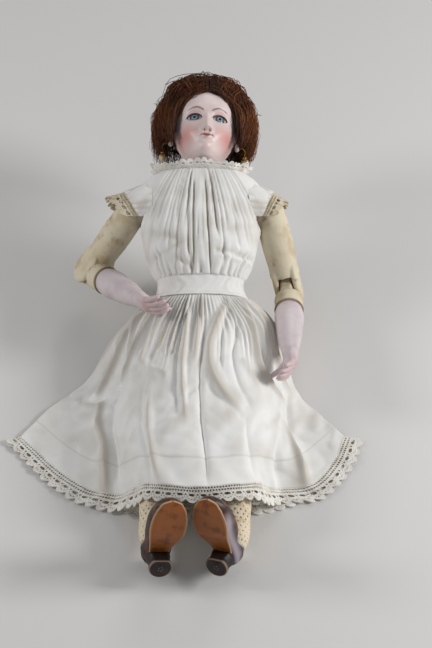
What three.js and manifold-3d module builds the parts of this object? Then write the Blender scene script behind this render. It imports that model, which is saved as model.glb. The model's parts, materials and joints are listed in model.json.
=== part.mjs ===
// A bisque-headed fashion doll with a kid leather body, seated on the floor and leaning back.
// Millimetres, +Z up, +Y towards the head, +X the doll's left side.
// The origin lies on the floor straight below the hip hinge.
import * as THREE from 'three';
import { mergeVertices } from 'three/addons/utils/BufferGeometryUtils.js';
import Module from 'manifold-3d';

const wasm = await Module();
wasm.setup();

// Clearances and cloth
const GAP = 0.3; // between pieces that touch
const CLOTH = 1.4; // cotton of the dress with its gathers
const SKIRT_BACK_CLOTH = 1.6;
const LACE = 0.8;

// Pose, in degrees
const TORSO_LEAN = 32; // spine above the floor
const HEAD_LEAN = 20; // head above the floor
const HEAD_TURN = 5; // towards the doll's left
const HEAD_ROLL = 3;
const LEG_DROP = 2.4;
const FOOT_LEAN = -16; // toes towards the body
const FOOT_TURN = { left: 7, right: -9 }; // toes inwards
const FOOT_ROLL = { left: 24, right: -12 }; // soles inwards

// Stuffed body: levels above the hip hinge along the spine, then half sizes
const THIGH_RADIUS = 22;
const THIGH_HALF_WIDTH = 19;
const HIP_SPREAD = 19.6;
const HIP_LEVEL = 16;
const WAIST_LEVEL = 42;
const BUST_LEVEL = 74;
const SHOULDER_LEVEL = 96;
const NECK_LEVEL = 112;
const HIP_HALF_WIDTH = 37;
const HIP_FRONT = 22;
const HIP_BACK = 21;
const WAIST_HALF_WIDTH = 27;
const WAIST_FRONT = 20;
const WAIST_BACK = 17.5;
const BUST_HALF_WIDTH = 33;
const BUST_FRONT = 23;
const BUST_BACK = 18;
const SHOULDER_HALF_WIDTH = 33.5;
const SHOULDER_FRONT = 17;
const SHOULDER_BACK = 16;
const GROIN_ANGLE = 44; // slope of the belly above the lap

// Shoulder plate and swivel neck
const PLATE_WALL = 2.6;
const PLATE_EDGE_LEVEL = 74;
const PLATE_OVERLAP = 5; // plate over the top of the kid body
const PLATE_ARM_CUT = 15;
const NECK_BALL = 13;
const NECK_RADIUS = 12.6;
const LINING_WALL = 0.6;
const SOCKET_RADIUS = NECK_BALL + LINING_WALL + 3 * GAP;
const SOCKET_RIM = 4; // rim below the ball's centre
const COLLAR_RADIUS = SOCKET_RADIUS + PLATE_WALL;
const ROD_RADIUS = 1.3;
const ROD_HOLE = 3.2;
const WASHER_RADIUS = 6.5;
const WASHER_THICKNESS = 1;
const SPRING_RADIUS = 4.4;
const SPRING_WIRE = 0.7;
const SPRING_PITCH = 2.2;
const SPRING_TURNS = 3;
const TOGGLE_THICKNESS = 2.4;
const TOGGLE_RADIUS = 5.6;

// Head, above the centre of the neck ball
const CHIN_LEVEL = 12;
const CROWN_LEVEL = 77;
const EYE_LEVEL = 43;
const HEAD_FORWARD = 4.8;
const CHEEK_HALF_WIDTH = 21;
const SKULL_HALF_WIDTH = 25;
const FACE_DEPTH = 26;
const SKULL_DEPTH = 30;
const HEAD_WALL = 3.4;
const FACE_CROWDING = 0.55; // points of a head ring drawn to the face
const PATE_LEVEL = 66;
const PATE_SLOPE = 20;
const EYE_SPREAD = 9.2;
const EYE_RADIUS = 6.4;
const EYE_OPENING_WIDTH = 11;
const EYE_OPENING_HEIGHT = 5.6;
const NOSE_LEVEL = 33;
const NOSE_PROUD = 5.2;
const MOUTH_LEVEL = 28;
const EAR_LEVEL = 39;
const EAR_HALF_THICKNESS = 2.6;
const EAR_HALF_DEPTH = 4;
const EAR_HEIGHT = 12;
const LOBE_RADIUS = 2.6;
const LOBE_REACH = 3; // lobe centre outside the cheek

// Wig
const WIG_HALF_WIDTH = 38.5;
const WIG_TOP = 12; // hair over the crown
const WIG_FRONT = 33;
const WIG_BACK = 41;
const WIG_BOTTOM_LEVEL = 24;
const WIG_LOCKS = 12;
const WIG_LOCK_DEPTH = 0.022;
const FACE_WINDOW_HALF_WIDTH = 22.5;
const HAIRLINE_LEVEL = 63;
const EAR_NOTCH_HALF_WIDTH = 33;

// Earrings
const EARRING_WIRE = 0.45;
const EARRING_DROP = 13;
const PEARL_RADIUS = 3.1;
const BEAD_RADIUS = 1.8;

// Arms
const SHOULDER_REACH = 48.5;
const ARM_RADIUS = 10.2;
const SHOULDER_ROOT_RADIUS = 6;
const UPPER_ARM = 56;
const FOREARM = 72;
const ELBOW_RADIUS = 9.6;
const TONGUE_HALF_WIDTH = 4.6;
const ELBOW_MITRE = 20; // each side of the fold, from the arm's own axis
const CUFF_LENGTH = 23;
const BINDING_LENGTH = 1.6;
const BINDING_PROUD = 0.7;
const FOREARM_TOP_RADIUS = 9.4;
const FOREARM_SWELL = 10.3;
const WRIST_RADIUS = 6;
const PALM_LENGTH = 17;
const PALM_HALF_WIDTH = 7;
const PALM_HALF_DEPTH = 4.2;
const FINGER_LENGTH = 15;
const FINGER_RADIUS = 2;
const ARMS = {
  left: { upper: [14.5, 22.7, -54.3], lower: [-1, -46.8, -53.3], twist: -60 },
  right: { upper: [-28.5, 30.1, -33], lower: [40.6, -57.5, -34], twist: 35 },
};

// Legs and stockings
const ANKLE = 156; // hip hinge to ankle centre
const KNEE = 84;
const KNEE_RADIUS = 15;
const CALF_RADIUS = 13.6;
const ANKLE_RADIUS = 9.4;
const STOCKING_WALL = 0.7;
const STOCKING_TOP = 72;
const LEG_SPLAY = { left: 1.2, right: 3.6 };

// Shoes, on the shoe's own ground
const ANKLE_HEIGHT = 30;
const FOOT_HEEL = 11;
const FOOT_TOE = 47;
const FOOT_HALF_WIDTH = 9.6;
const HEEL_LIFT = 10;
const UPPER_WALL = 1.2;
const SOLE_THICKNESS = 1.8;
const SOLE_PROUD = 1.2;
const HEEL_RADIUS = 7.6;
const HEEL_FLARE = 1;
const TOPLINE_HEIGHT = 25;
const VAMP_LENGTH = 27;
const ROSETTE_RADIUS = 5;
const ROSETTE_SLOPE = 28;
const PETAL_NOTCH = 0.78; // reach of the notches between petals
const ROSETTE_HEIGHT = 2.2;

// Dress
const BAND_BOTTOM = 35.5;
const BAND_TOP = 49;
const BAND_EASE = 1.2;
const BODICE_EASE = 1.6;
const BLOUSE_LEVEL = 68; // where the bodice stands out most over the waist
const BLOUSE_HALF_WIDTH = 38.6;
const BLOUSE_FRONT = 31;
const BLOUSE_BACK = 22.5;
const YOKE_HALF_WIDTH = 39.6;
const YOKE_FRONT = 26;
const YOKE_BACK = 21;
const BODICE_TOP = 113;
const NECKLINE_HALF_WIDTH = 31;
const NECKLINE_FRONT = 18.6;
const NECKLINE_BACK = 19;
const BODICE_PLEATS = 10;
const PLEAT_DEPTH = 0.7;
const ARMHOLE_RADIUS = 15.5;
const FRILL_HEIGHT = 6;
const FRILL_FLARE = 5;
const FRILL_WAVES = 12;
const SLEEVE_WIDTH = 22;
const SLEEVE_TUCK = 2.2; // seam inside the armhole, clear of the shoulder
const SLEEVE_PUFF = 3.4;
const SLEEVE_TAPER = 1.2; // how much closer the outer edge lies
const SLEEVE_LACE_WIDTH = 10;
const SLEEVE_FLAT = 0.3; // share of the sleeve before its puff
const SLEEVE_LACE_SLOPE = 24; // degrees out from the shoulder axis
const SLEEVE_SWEEP = 125;
const SLEEVE_WAVES = 8;
const BACK_BUTTON_RADIUS = 2.2;
const BACK_BUTTON_HEIGHT = 1.6;
const BACK_BUTTON_LEVELS = [58, 76, 94];
const SKIRT_FOLDS = 9;
const SKIRT_CREASES = 15;
const SKIRT_COLUMNS = 36;
const SKIRT_BACK_COLUMNS = 16;
const SKIRT_FOLD_DEPTH = 2;
const LACE_SEAM = 0.12; // of the lace's width, free of the hem

const HIP_HEIGHT = SKIRT_BACK_CLOTH + GAP + THIGH_RADIUS;
const SIDES = { left: 1, right: -1 };
const radians = THREE.MathUtils.degToRad;

// Finishes
const finish = (color, roughness, metalness = 0) => new THREE.MeshStandardMaterial({ color, roughness, metalness });
const BISQUE = finish(0xeadfda, 0.5);
const KID = finish(0xd6c8a4, 0.75);
const COTTON = finish(0xeae4d8, 0.9);
const LACE_THREAD = finish(0xe2d9c4, 0.9);
const HAIR = finish(0x4a2414, 0.6);
const CORK = finish(0xa9814f, 0.9);
const EYE_GLASS = finish(0xb9cbd2, 0.1);
const STOCKING_KNIT = finish(0xd8c8a8, 0.9);
const SHOE_LEATHER = finish(0x3a2218, 0.45);
const SOLE_LEATHER = finish(0x8f5a26, 0.6);
const GILT = finish(0xc9a45c, 0.35, 1);
const PEARL = finish(0xe6d9b8, 0.3);
const STEEL = finish(0x9a9a98, 0.4, 1);
const BEECH = finish(0xb48a58, 0.7);
const HORN = finish(0xf0ead8, 0.5);

const doll = new THREE.Group();

// Shape helpers

const vec = (x, y, z) => new THREE.Vector3(x, y, z);

/** Smooth monotone curve through rows of numbers, read by level, the first number of each row. */
function through(rows) {
  const rise = (k, c) => (rows[k + 1][c] - rows[k][c]) / (rows[k + 1][0] - rows[k][0]);
  const last = rows.length - 1;
  const slope = (k, c) => {
    if (k === 0) return rise(0, c);
    if (k === last) return rise(last - 1, c);
    const before = rise(k - 1, c);
    const after = rise(k, c);
    return before * after > 0 ? (2 * before * after) / (before + after) : 0;
  };
  return (level) => {
    let k = 0;
    while (k < last - 1 && level > rows[k + 1][0]) k += 1;
    const span = rows[k + 1][0] - rows[k][0];
    const t = THREE.MathUtils.clamp((level - rows[k][0]) / span, 0, 1);
    return rows[k].slice(1).map((value, index) => {
      const c = index + 1;
      const next = rows[k + 1][c];
      const bend = t * (1 - t);
      const eased = t * t * (3 - 2 * t);
      return value + (next - value) * eased + span * bend * ((1 - t) * slope(k, c) - t * slope(k + 1, c));
    });
  };
}

/** Evenly spaced numbers from first to last. */
const steps = (first, last, count) => Array.from({ length: count + 1 }, (_, i) => (
  first + ((last - first) * i) / count
));

/** Closed geometry from points and triangles, turned so that its faces point out. */
function closed(points, triangles) {
  let volume = 0;
  for (let i = 0; i < triangles.length; i += 3) {
    const [a, b, c] = [points[triangles[i]], points[triangles[i + 1]], points[triangles[i + 2]]];
    volume += a.dot(vec(0, 0, 0).crossVectors(b, c));
  }
  const geometry = new THREE.BufferGeometry();
  geometry.setAttribute('position', new THREE.Float32BufferAttribute(points.flatMap((p) => p.toArray()), 3));
  geometry.setIndex(volume < 0 ? triangles.slice().reverse() : triangles);
  return geometry;
}

/** Solid skinned over rings of equally many points, with a fan at each end. */
function loft(rings) {
  const count = rings[0].length;
  const points = rings.flat();
  const triangles = [];
  for (let k = 0; k < rings.length - 1; k += 1) {
    for (let i = 0; i < count; i += 1) {
      const a = k * count + i;
      const b = k * count + ((i + 1) % count);
      triangles.push(a, b, b + count, a, b + count, a + count);
    }
  }
  for (const [ring, first] of [[rings[0], 0], [rings.at(-1), (rings.length - 1) * count]]) {
    const centre = points.push(ring.reduce((sum, p) => sum.add(p), vec(0, 0, 0)).divideScalar(count)) - 1;
    for (let i = 0; i < count; i += 1) {
      const pair = [first + i, first + ((i + 1) % count)];
      triangles.push(centre, ...(first === 0 ? pair.reverse() : pair));
    }
  }
  return closed(points, triangles);
}

/** Level ring with its own half width, front and back depth, whose points may crowd to the front. */
function oval(level, halfWidth, front, back, count, shift = 0, crowd = 0) {
  return steps(0, 2 * Math.PI, count).slice(0, count).map((turn) => {
    const angle = turn + crowd * Math.cos(turn);
    const depth = Math.sin(angle) > 0 ? front : back;
    return vec(halfWidth * Math.cos(angle), shift - depth * Math.sin(angle), level);
  });
}

/** Sheet of even thickness over a surface of two parameters; closed sheets wrap in the first one. */
function sheet(surface, across, along, thickness, wraps = false) {
  const columns = wraps ? across : across + 1;
  const column = (i) => (wraps ? (i + columns) % columns : THREE.MathUtils.clamp(i, 0, across));
  const row = (j) => THREE.MathUtils.clamp(j, 0, along);
  const grid = steps(0, 1, along).map((v) => steps(0, 1, across).slice(0, columns).map((u) => surface(u, v)));
  const points = [];
  for (const side of [0.5, -0.5]) {
    grid.forEach((line, j) => line.forEach((point, i) => {
      const du = grid[j][column(i + 1)].clone().sub(grid[j][column(i - 1)]);
      const dv = grid[row(j + 1)][i].clone().sub(grid[row(j - 1)][i]);
      points.push(point.clone().addScaledVector(du.cross(dv).normalize(), side * thickness));
    }));
  }
  const under = columns * (along + 1);
  const at = (i, j) => j * columns + column(i);
  const triangles = [];
  const quad = (a, b, c, d) => triangles.push(a, b, c, a, c, d);
  for (let j = 0; j < along; j += 1) {
    for (let i = 0; i < across; i += 1) {
      quad(at(i, j), at(i + 1, j), at(i + 1, j + 1), at(i, j + 1));
      quad(under + at(i, j), under + at(i, j + 1), under + at(i + 1, j + 1), under + at(i + 1, j));
    }
    if (!wraps) {
      quad(at(0, j), at(0, j + 1), under + at(0, j + 1), under + at(0, j));
      quad(at(across, j), under + at(across, j), under + at(across, j + 1), at(across, j + 1));
    }
  }
  for (let i = 0; i < across; i += 1) {
    quad(at(i, 0), under + at(i, 0), under + at(i + 1, 0), at(i + 1, 0));
    quad(at(i, along), at(i + 1, along), under + at(i + 1, along), under + at(i, along));
  }
  return closed(points, triangles);
}

/** Round tube along a curve, with closed ends. */
function tube(curve, radius, lengthSteps, sides = 8) {
  const section = new THREE.Shape(steps(0, 2 * Math.PI, sides).slice(0, sides)
    .map((angle) => new THREE.Vector2(radius * Math.cos(angle), radius * Math.sin(angle))));
  return new THREE.ExtrudeGeometry(section, { steps: lengthSteps, extrudePath: curve, bevelEnabled: false });
}

/** Body turned about the upright axis from rows of radius and height. */
function turned(profile, segments = 16) {
  const rows = profile.map(([r, z]) => new THREE.Vector2(r, z));
  const area = THREE.ShapeUtils.area(rows);
  const lathe = new THREE.LatheGeometry(area > 0 ? rows : rows.reverse(), segments);
  return lathe.rotateX(Math.PI / 2);
}

/** Ellipsoid about a centre. */
function ellipsoid(centre, half, across = 20, down = 12) {
  const ball = new THREE.SphereGeometry(1, across, down);
  return ball.scale(half.x, half.y, half.z).translate(centre.x, centre.y, centre.z);
}

/** Box between two corners. */
function block(low, high) {
  const size = high.clone().sub(low);
  const middle = high.clone().add(low).multiplyScalar(0.5);
  return new THREE.BoxGeometry(size.x, size.y, size.z).translate(middle.x, middle.y, middle.z);
}

/** Cylinder along X between two places. */
function rodAlongX(x0, x1, radius, y, z, segments = 20) {
  const rod = new THREE.CylinderGeometry(radius, radius, Math.abs(x1 - x0), segments).rotateZ(Math.PI / 2);
  return rod.translate((x0 + x1) / 2, y, z);
}

/** Geometry as a solid that can be joined and cut. */
function solid(geometry) {
  const bare = new THREE.BufferGeometry();
  bare.setAttribute('position', geometry.getAttribute('position').clone());
  bare.setIndex(geometry.index ? geometry.index.clone() : null);
  const merged = mergeVertices(bare, 1e-4);
  const index = Array.from(merged.index.array);
  const kept = [];
  for (let i = 0; i < index.length; i += 3) {
    const [a, b, c] = index.slice(i, i + 3);
    if (a !== b && b !== c && c !== a) kept.push(a, b, c);
  }
  return new wasm.Manifold(new wasm.Mesh({
    numProp: 3,
    vertProperties: new Float32Array(merged.getAttribute('position').array),
    triVerts: new Uint32Array(kept),
  }));
}

/** Solid as a geometry again. */
function geometryOf(body) {
  const mesh = body.getMesh();
  const geometry = new THREE.BufferGeometry();
  geometry.setAttribute('position', new THREE.Float32BufferAttribute(Array.from(mesh.vertProperties), 3));
  geometry.setIndex(Array.from(mesh.triVerts));
  return geometry;
}

const cut = (base, ...tools) => geometryOf(tools.reduce((body, tool) => body.subtract(solid(tool)), solid(base)));
const join = (first, ...others) => geometryOf(others.reduce((body, piece) => body.add(solid(piece)), solid(first)));
const keep = (base, region) => geometryOf(solid(base).intersect(solid(region)));

/** Adds one named piece to a group. */
function add(group, name, geometry, material) {
  const mesh = new THREE.Mesh(geometry, material);
  mesh.name = name;
  group.add(mesh);
}

const FAR = 400; // reach of a cutting block past every piece

// Body frame: +Z along the spine, -Y to the front, hip hinge at its origin
const body = new THREE.Group();
body.position.z = HIP_HEIGHT;
body.rotation.x = radians(TORSO_LEAN - 90);
doll.add(body);

const bodyAt = through([
  [0, HIP_HALF_WIDTH - 2, HIP_FRONT - 1, HIP_BACK - 1],
  [HIP_LEVEL, HIP_HALF_WIDTH, HIP_FRONT, HIP_BACK],
  [WAIST_LEVEL, WAIST_HALF_WIDTH, WAIST_FRONT, WAIST_BACK],
  [BUST_LEVEL, BUST_HALF_WIDTH, BUST_FRONT, BUST_BACK],
  [SHOULDER_LEVEL, SHOULDER_HALF_WIDTH, SHOULDER_FRONT, SHOULDER_BACK],
  [NECK_LEVEL - SOCKET_RIM, COLLAR_RADIUS, COLLAR_RADIUS, COLLAR_RADIUS],
]);

/** Ring of the stuffed body, drawn in or let out by an offset. */
function bodyRing(level, offset, count = 18) {
  const [halfWidth, front, back] = bodyAt(level);
  return oval(level, halfWidth + offset, front + offset, back + offset, count);
}

/** Ellipsoid of a thigh's rounded top, a body of revolution about the hip hinge. */
function thighTop(side, offset) {
  const half = vec(THIGH_HALF_WIDTH + offset, THIGH_RADIUS + offset, THIGH_RADIUS + offset);
  return ellipsoid(vec(side * HIP_SPREAD, 0, 0), half, 18, 12);
}

function torso() {
  const under = -PLATE_WALL - GAP;
  const top = PLATE_EDGE_LEVEL + PLATE_OVERLAP;
  const trunk = steps(0, PLATE_EDGE_LEVEL - GAP, 6).map((level) => bodyRing(level, 0));
  const tucked = [PLATE_EDGE_LEVEL - GAP + 0.2, top].map((level) => bodyRing(level, under));
  const lap = block(vec(-FAR, -FAR, -FAR), vec(FAR, 0, 0)).rotateX(-radians(GROIN_ANGLE));
  return cut(loft([...trunk, ...tucked]), thighTop(1, 2 * GAP), thighTop(-1, 2 * GAP), lap);
}
add(body, 'torso', torso(), KID);

// Swivel neck frame at the centre of the neck ball, turned with the head
const neck = new THREE.Group();
neck.position.set(0, 0, NECK_LEVEL);
neck.rotation.set(radians(HEAD_LEAN - TORSO_LEAN), radians(HEAD_ROLL), radians(HEAD_TURN), 'XYZ');
body.add(neck);
doll.updateMatrixWorld(true);

/** Geometry of the neck frame moved into the body frame. */
const neckToBody = (geometry) => geometry.applyMatrix4(neck.matrix);

function shoulderPlate() {
  const levels = steps(PLATE_EDGE_LEVEL, NECK_LEVEL - SOCKET_RIM, 5);
  const outer = loft(levels.map((level) => bodyRing(level, 0)));
  const hollowTop = NECK_LEVEL - SOCKET_RADIUS - PLATE_WALL;
  const hollow = loft([PLATE_EDGE_LEVEL - 1, PLATE_EDGE_LEVEL, ...steps(PLATE_EDGE_LEVEL + 3, hollowTop, 3)]
    .map((level) => bodyRing(Math.max(level, PLATE_EDGE_LEVEL), -PLATE_WALL).map((p) => p.setZ(level))));
  const socket = ellipsoid(vec(0, 0, NECK_LEVEL), vec(SOCKET_RADIUS, SOCKET_RADIUS, SOCKET_RADIUS), 16, 8);
  const hole = neckToBody(new THREE.CylinderGeometry(ROD_HOLE, ROD_HOLE, FAR / 10, 12).rotateX(Math.PI / 2)
    .translate(0, 0, -FAR / 20));
  const armCuts = [1, -1].map((side) => new THREE.CylinderGeometry(PLATE_ARM_CUT, PLATE_ARM_CUT, FAR, 16)
    .translate(side * (BUST_HALF_WIDTH + PLATE_ARM_CUT / 2), 0, PLATE_EDGE_LEVEL));
  return cut(outer, hollow, socket, hole, ...armCuts);
}
add(body, 'shoulder_plate', shoulderPlate(), BISQUE);

// Leather lining of the socket: a bowl under the neck ball
function neckLining() {
  const inner = NECK_BALL + GAP;
  const outer = inner + LINING_WALL;
  const from = Math.asin((ROD_HOLE + GAP) / inner);
  const to = Math.acos((SOCKET_RIM + 1) / outer);
  const arc = (radius) => steps(from, to, 3).map((angle) => [radius * Math.sin(angle), -radius * Math.cos(angle)]);
  const profile = [...arc(outer), ...arc(inner).reverse()];
  return turned([...profile, profile[0]], 16);
}
add(neck, 'neck_lining', neckLining(), KID);

// Sprung rod that draws the head into its socket
const rodTop = 6;
const washerTop = -(SOCKET_RADIUS + PLATE_WALL + 2.2);
const springTop = washerTop - WASHER_THICKNESS - GAP;
const springLength = SPRING_TURNS * SPRING_PITCH;
const toggleTop = springTop - springLength - 2 * SPRING_WIRE - GAP;
const rodBottom = toggleTop - TOGGLE_THICKNESS;

class Coil extends THREE.Curve {
  getPoint(t) {
    const angle = 2 * Math.PI * SPRING_TURNS * t;
    return vec(SPRING_RADIUS * Math.cos(angle), SPRING_RADIUS * Math.sin(angle), -springLength * t);
  }
}

function neckRod() {
  return turned([[0, rodBottom], [ROD_RADIUS, rodBottom], [ROD_RADIUS, rodTop - 2], [3.4, rodTop - 2], [3.4, rodTop],
    [0, rodTop]], 12);
}

function ringPlate(radius, hole, bottom, top) {
  return turned([[hole, bottom], [radius, bottom], [radius, top], [hole, top], [hole, bottom]], 16);
}

add(neck, 'neck_rod', neckRod(), STEEL);
add(neck, 'neck_washer', ringPlate(WASHER_RADIUS, ROD_RADIUS + GAP, washerTop - WASHER_THICKNESS, washerTop), STEEL);
add(neck, 'neck_spring', tube(new Coil(), SPRING_WIRE, 10 * SPRING_TURNS, 5)
  .translate(0, 0, springTop - SPRING_WIRE), STEEL);
add(neck, 'neck_toggle', ringPlate(TOGGLE_RADIUS, ROD_RADIUS + GAP, rodBottom, toggleTop), BEECH);

// Head: rings with a fuller back than front, then the features of the face as soft bumps
const headAt = through([
  [CHIN_LEVEL, 8, FACE_DEPTH - 3.5, -6],
  [CHIN_LEVEL + 3, 14, FACE_DEPTH - 1, -2],
  [CHIN_LEVEL + 10, CHEEK_HALF_WIDTH - 2.6, FACE_DEPTH, 8],
  [CHIN_LEVEL + 19, CHEEK_HALF_WIDTH, FACE_DEPTH, SKULL_DEPTH - 12],
  [EYE_LEVEL, SKULL_HALF_WIDTH - 2.5, FACE_DEPTH - 0.5, SKULL_DEPTH - 3],
  [EYE_LEVEL + 11, SKULL_HALF_WIDTH, FACE_DEPTH + 0.5, SKULL_DEPTH],
  [EYE_LEVEL + 22, SKULL_HALF_WIDTH - 3.5, FACE_DEPTH - 5, SKULL_DEPTH - 3],
  [CROWN_LEVEL - 5, SKULL_HALF_WIDTH - 10, FACE_DEPTH - 13, SKULL_DEPTH - 11],
  [CROWN_LEVEL, 3, 3, 3],
]);

const bump = (d, spread) => Math.exp(-((d / spread) ** 2));

/** How far the face stands out of the plain head at a place seen from the front. */
function faceRelief(x, level) {
  const nose = NOSE_PROUD * bump(x, 3.4) * (bump(level - NOSE_LEVEL, 3.2) + 0.35 * bump(level - NOSE_LEVEL - 6, 6));
  const lips = 1.6 * bump(x, 5) * bump(level - MOUTH_LEVEL, 3.2);
  const chin = 1.6 * bump(x, 6) * bump(level - CHIN_LEVEL - 8, 4);
  const sockets = 1.5 * bump(Math.abs(x) - EYE_SPREAD, 6) * bump(level - EYE_LEVEL, 5);
  return nose + lips + chin - sockets;
}

function headLoft(offset) {
  const face = steps(CHIN_LEVEL + 7, EYE_LEVEL + 6, 10);
  const forehead = steps(EYE_LEVEL + 13, CROWN_LEVEL - 4, 2);
  const levels = [CHIN_LEVEL, CHIN_LEVEL + 3, ...face, ...forehead, CROWN_LEVEL];
  return loft(levels.map((level) => {
    const [halfWidth, front, back] = headAt(level);
    const ring = oval(level, halfWidth + offset, front + offset, back + offset, 24, -HEAD_FORWARD, FACE_CROWDING);
    const ends = level === CHIN_LEVEL ? -offset : offset * (level === CROWN_LEVEL);
    return ring.map((p) => {
      const facing = Math.max(0, -(p.y + HEAD_FORWARD) / (front + offset));
      return vec(p.x, p.y - faceRelief(p.x, level) * facing, level + ends);
    });
  }));
}

function neckPost() {
  const ball = ellipsoid(vec(0, 0, 0), vec(NECK_BALL, NECK_BALL, NECK_BALL), 14, 8);
  const post = loft([
    oval(0, NECK_RADIUS, NECK_RADIUS, NECK_RADIUS, 14),
    oval(CHIN_LEVEL, NECK_RADIUS, NECK_RADIUS, NECK_RADIUS, 14),
    oval(CHIN_LEVEL + 14, NECK_RADIUS + 1, NECK_RADIUS, NECK_RADIUS + 1, 14, 1),
  ]);
  return join(ball, post);
}

/** Half space above the sloping cut that opens the crown. */
function crownSide(lift) {
  const above = block(vec(-FAR, -FAR, 0), vec(FAR, FAR, FAR));
  return above.rotateX(radians(-PATE_SLOPE)).translate(0, 0, PATE_LEVEL + lift);
}

const eyeDepth = (() => {
  const [, front] = headAt(EYE_LEVEL);
  return -(HEAD_FORWARD + front) + EYE_RADIUS + 2.6;
})();

/** Almond opening of an eye, right through the front wall. */
function eyeOpening(side) {
  const half = EYE_OPENING_WIDTH / 2;
  const almond = new THREE.Shape();
  almond.moveTo(-half, 0);
  almond.quadraticCurveTo(0, EYE_OPENING_HEIGHT * 1.1, half, 0);
  almond.quadraticCurveTo(0, -EYE_OPENING_HEIGHT * 0.9, -half, 0);
  const prism = new THREE.ExtrudeGeometry(almond, { depth: FACE_DEPTH, bevelEnabled: false, curveSegments: 5 });
  return prism.rotateX(Math.PI / 2).translate(side * EYE_SPREAD, eyeDepth, EYE_LEVEL);
}

const lobe = (side) => vec(side * (CHEEK_HALF_WIDTH + LOBE_REACH), -HEAD_FORWARD + 1, EAR_LEVEL - EAR_HEIGHT / 2);

function ear(side) {
  const middle = vec(side * (CHEEK_HALF_WIDTH + 1), 1 - HEAD_FORWARD, EAR_LEVEL);
  const shell = ellipsoid(middle, vec(EAR_HALF_THICKNESS, EAR_HALF_DEPTH, EAR_HEIGHT / 2), 8, 5);
  const drop = ellipsoid(lobe(side), vec(LOBE_RADIUS, LOBE_RADIUS, LOBE_RADIUS), 8, 5);
  return join(shell, drop);
}

function head() {
  const cavityTall = (CROWN_LEVEL - CHIN_LEVEL) / 2 - 4;
  const cavityHalf = vec(CHEEK_HALF_WIDTH - HEAD_WALL, SKULL_DEPTH - HEAD_WALL - 4, cavityTall);
  const cavity = ellipsoid(vec(0, -HEAD_FORWARD + 2.5, (CROWN_LEVEL + CHIN_LEVEL) / 2 + 6), cavityHalf, 12, 7);
  const bore = new THREE.CylinderGeometry(ROD_HOLE + 1.4, ROD_HOLE + 1.4, FAR / 8, 12).rotateX(Math.PI / 2)
    .translate(0, 0, 6);
  const sockets = [1, -1].map((side) => ellipsoid(vec(side * EYE_SPREAD, eyeDepth, EYE_LEVEL),
    vec(1, 1, 1).multiplyScalar(EYE_RADIUS + 2 * GAP), 10, 6));
  const pins = [1, -1].map((side) => {
    const place = lobe(side);
    return rodAlongX(place.x, place.x + side * 2 * LOBE_RADIUS, EARRING_WIRE + GAP, place.y, place.z, 8);
  });
  const bisque = join(headLoft(0), neckPost(), ear(1), ear(-1));
  return cut(bisque, crownSide(0), cavity, bore, ...sockets, eyeOpening(1), eyeOpening(-1), ...pins);
}
add(neck, 'head', head(), BISQUE);
add(neck, 'pate', keep(headLoft(0), crownSide(GAP)), CORK);
for (const [name, side] of Object.entries(SIDES)) {
  const eye = new THREE.SphereGeometry(EYE_RADIUS, 10, 6).rotateX(Math.PI / 2);
  add(neck, `eye_${name}`, eye.translate(side * EYE_SPREAD, eyeDepth, EYE_LEVEL), EYE_GLASS);
}

// Wig: a bushy bob round the head, open at the face and in front of the ears
function wig() {
  const middle = (CROWN_LEVEL + WIG_TOP + WIG_BOTTOM_LEVEL) / 2;
  const half = CROWN_LEVEL + WIG_TOP - middle;
  const levels = steps(-0.86, 1, 7).map((t) => Math.sin((t * Math.PI) / 2));
  const hair = loft(levels.map((t) => {
    const round = Math.max(0.06, Math.sqrt(Math.max(0, 1 - t * t)));
    const full = t < 0 ? Math.max(round, 0.8 - 0.1 * t * t) : round;
    const [wide, front, back] = [WIG_HALF_WIDTH, WIG_FRONT, WIG_BACK].map((reach) => reach * full);
    const ring = oval(middle + half * t, wide, front, back, 2 * WIG_LOCKS, -HEAD_FORWARD);
    const lock = ring.map((p, i) => 1 + WIG_LOCK_DEPTH * full * Math.cos(Math.PI * i + t));
    return ring.map((p, i) => vec(p.x * lock[i], p.y * lock[i], p.z));
  }));
  const arch = new THREE.Shape();
  const springing = HAIRLINE_LEVEL - FACE_WINDOW_HALF_WIDTH * 0.9;
  arch.moveTo(-FACE_WINDOW_HALF_WIDTH, -FAR / 4);
  arch.lineTo(FACE_WINDOW_HALF_WIDTH, -FAR / 4);
  arch.lineTo(FACE_WINDOW_HALF_WIDTH, springing);
  arch.absellipse(0, springing, FACE_WINDOW_HALF_WIDTH, HAIRLINE_LEVEL - springing, 0, Math.PI, false);
  const window = new THREE.ExtrudeGeometry(arch, { depth: FAR / 4, bevelEnabled: false, curveSegments: 8 })
    .rotateX(Math.PI / 2);
  const earReach = EARRING_DROP + PEARL_RADIUS + 4;
  const earTop = EAR_LEVEL + EAR_HEIGHT / 2 + 1;
  const notch = block(vec(-EAR_NOTCH_HALF_WIDTH, -FAR, -FAR), vec(EAR_NOTCH_HALF_WIDTH, earReach, earTop));
  const nape = block(vec(-FAR, -FAR, -FAR), vec(FAR, FAR, WIG_BOTTOM_LEVEL));
  return cut(hair, headLoft(GAP + 0.2), window, notch, nape);
}
add(neck, 'wig', wig(), HAIR);

// Earrings hang straight down from the lobes
function bead(radius, hole) {
  const from = Math.asin(hole / radius);
  const arc = steps(from, Math.PI - from, 5).map((angle) => [radius * Math.sin(angle), radius * Math.cos(angle)]);
  return turned([...arc, arc[0]], 10);
}

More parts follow.
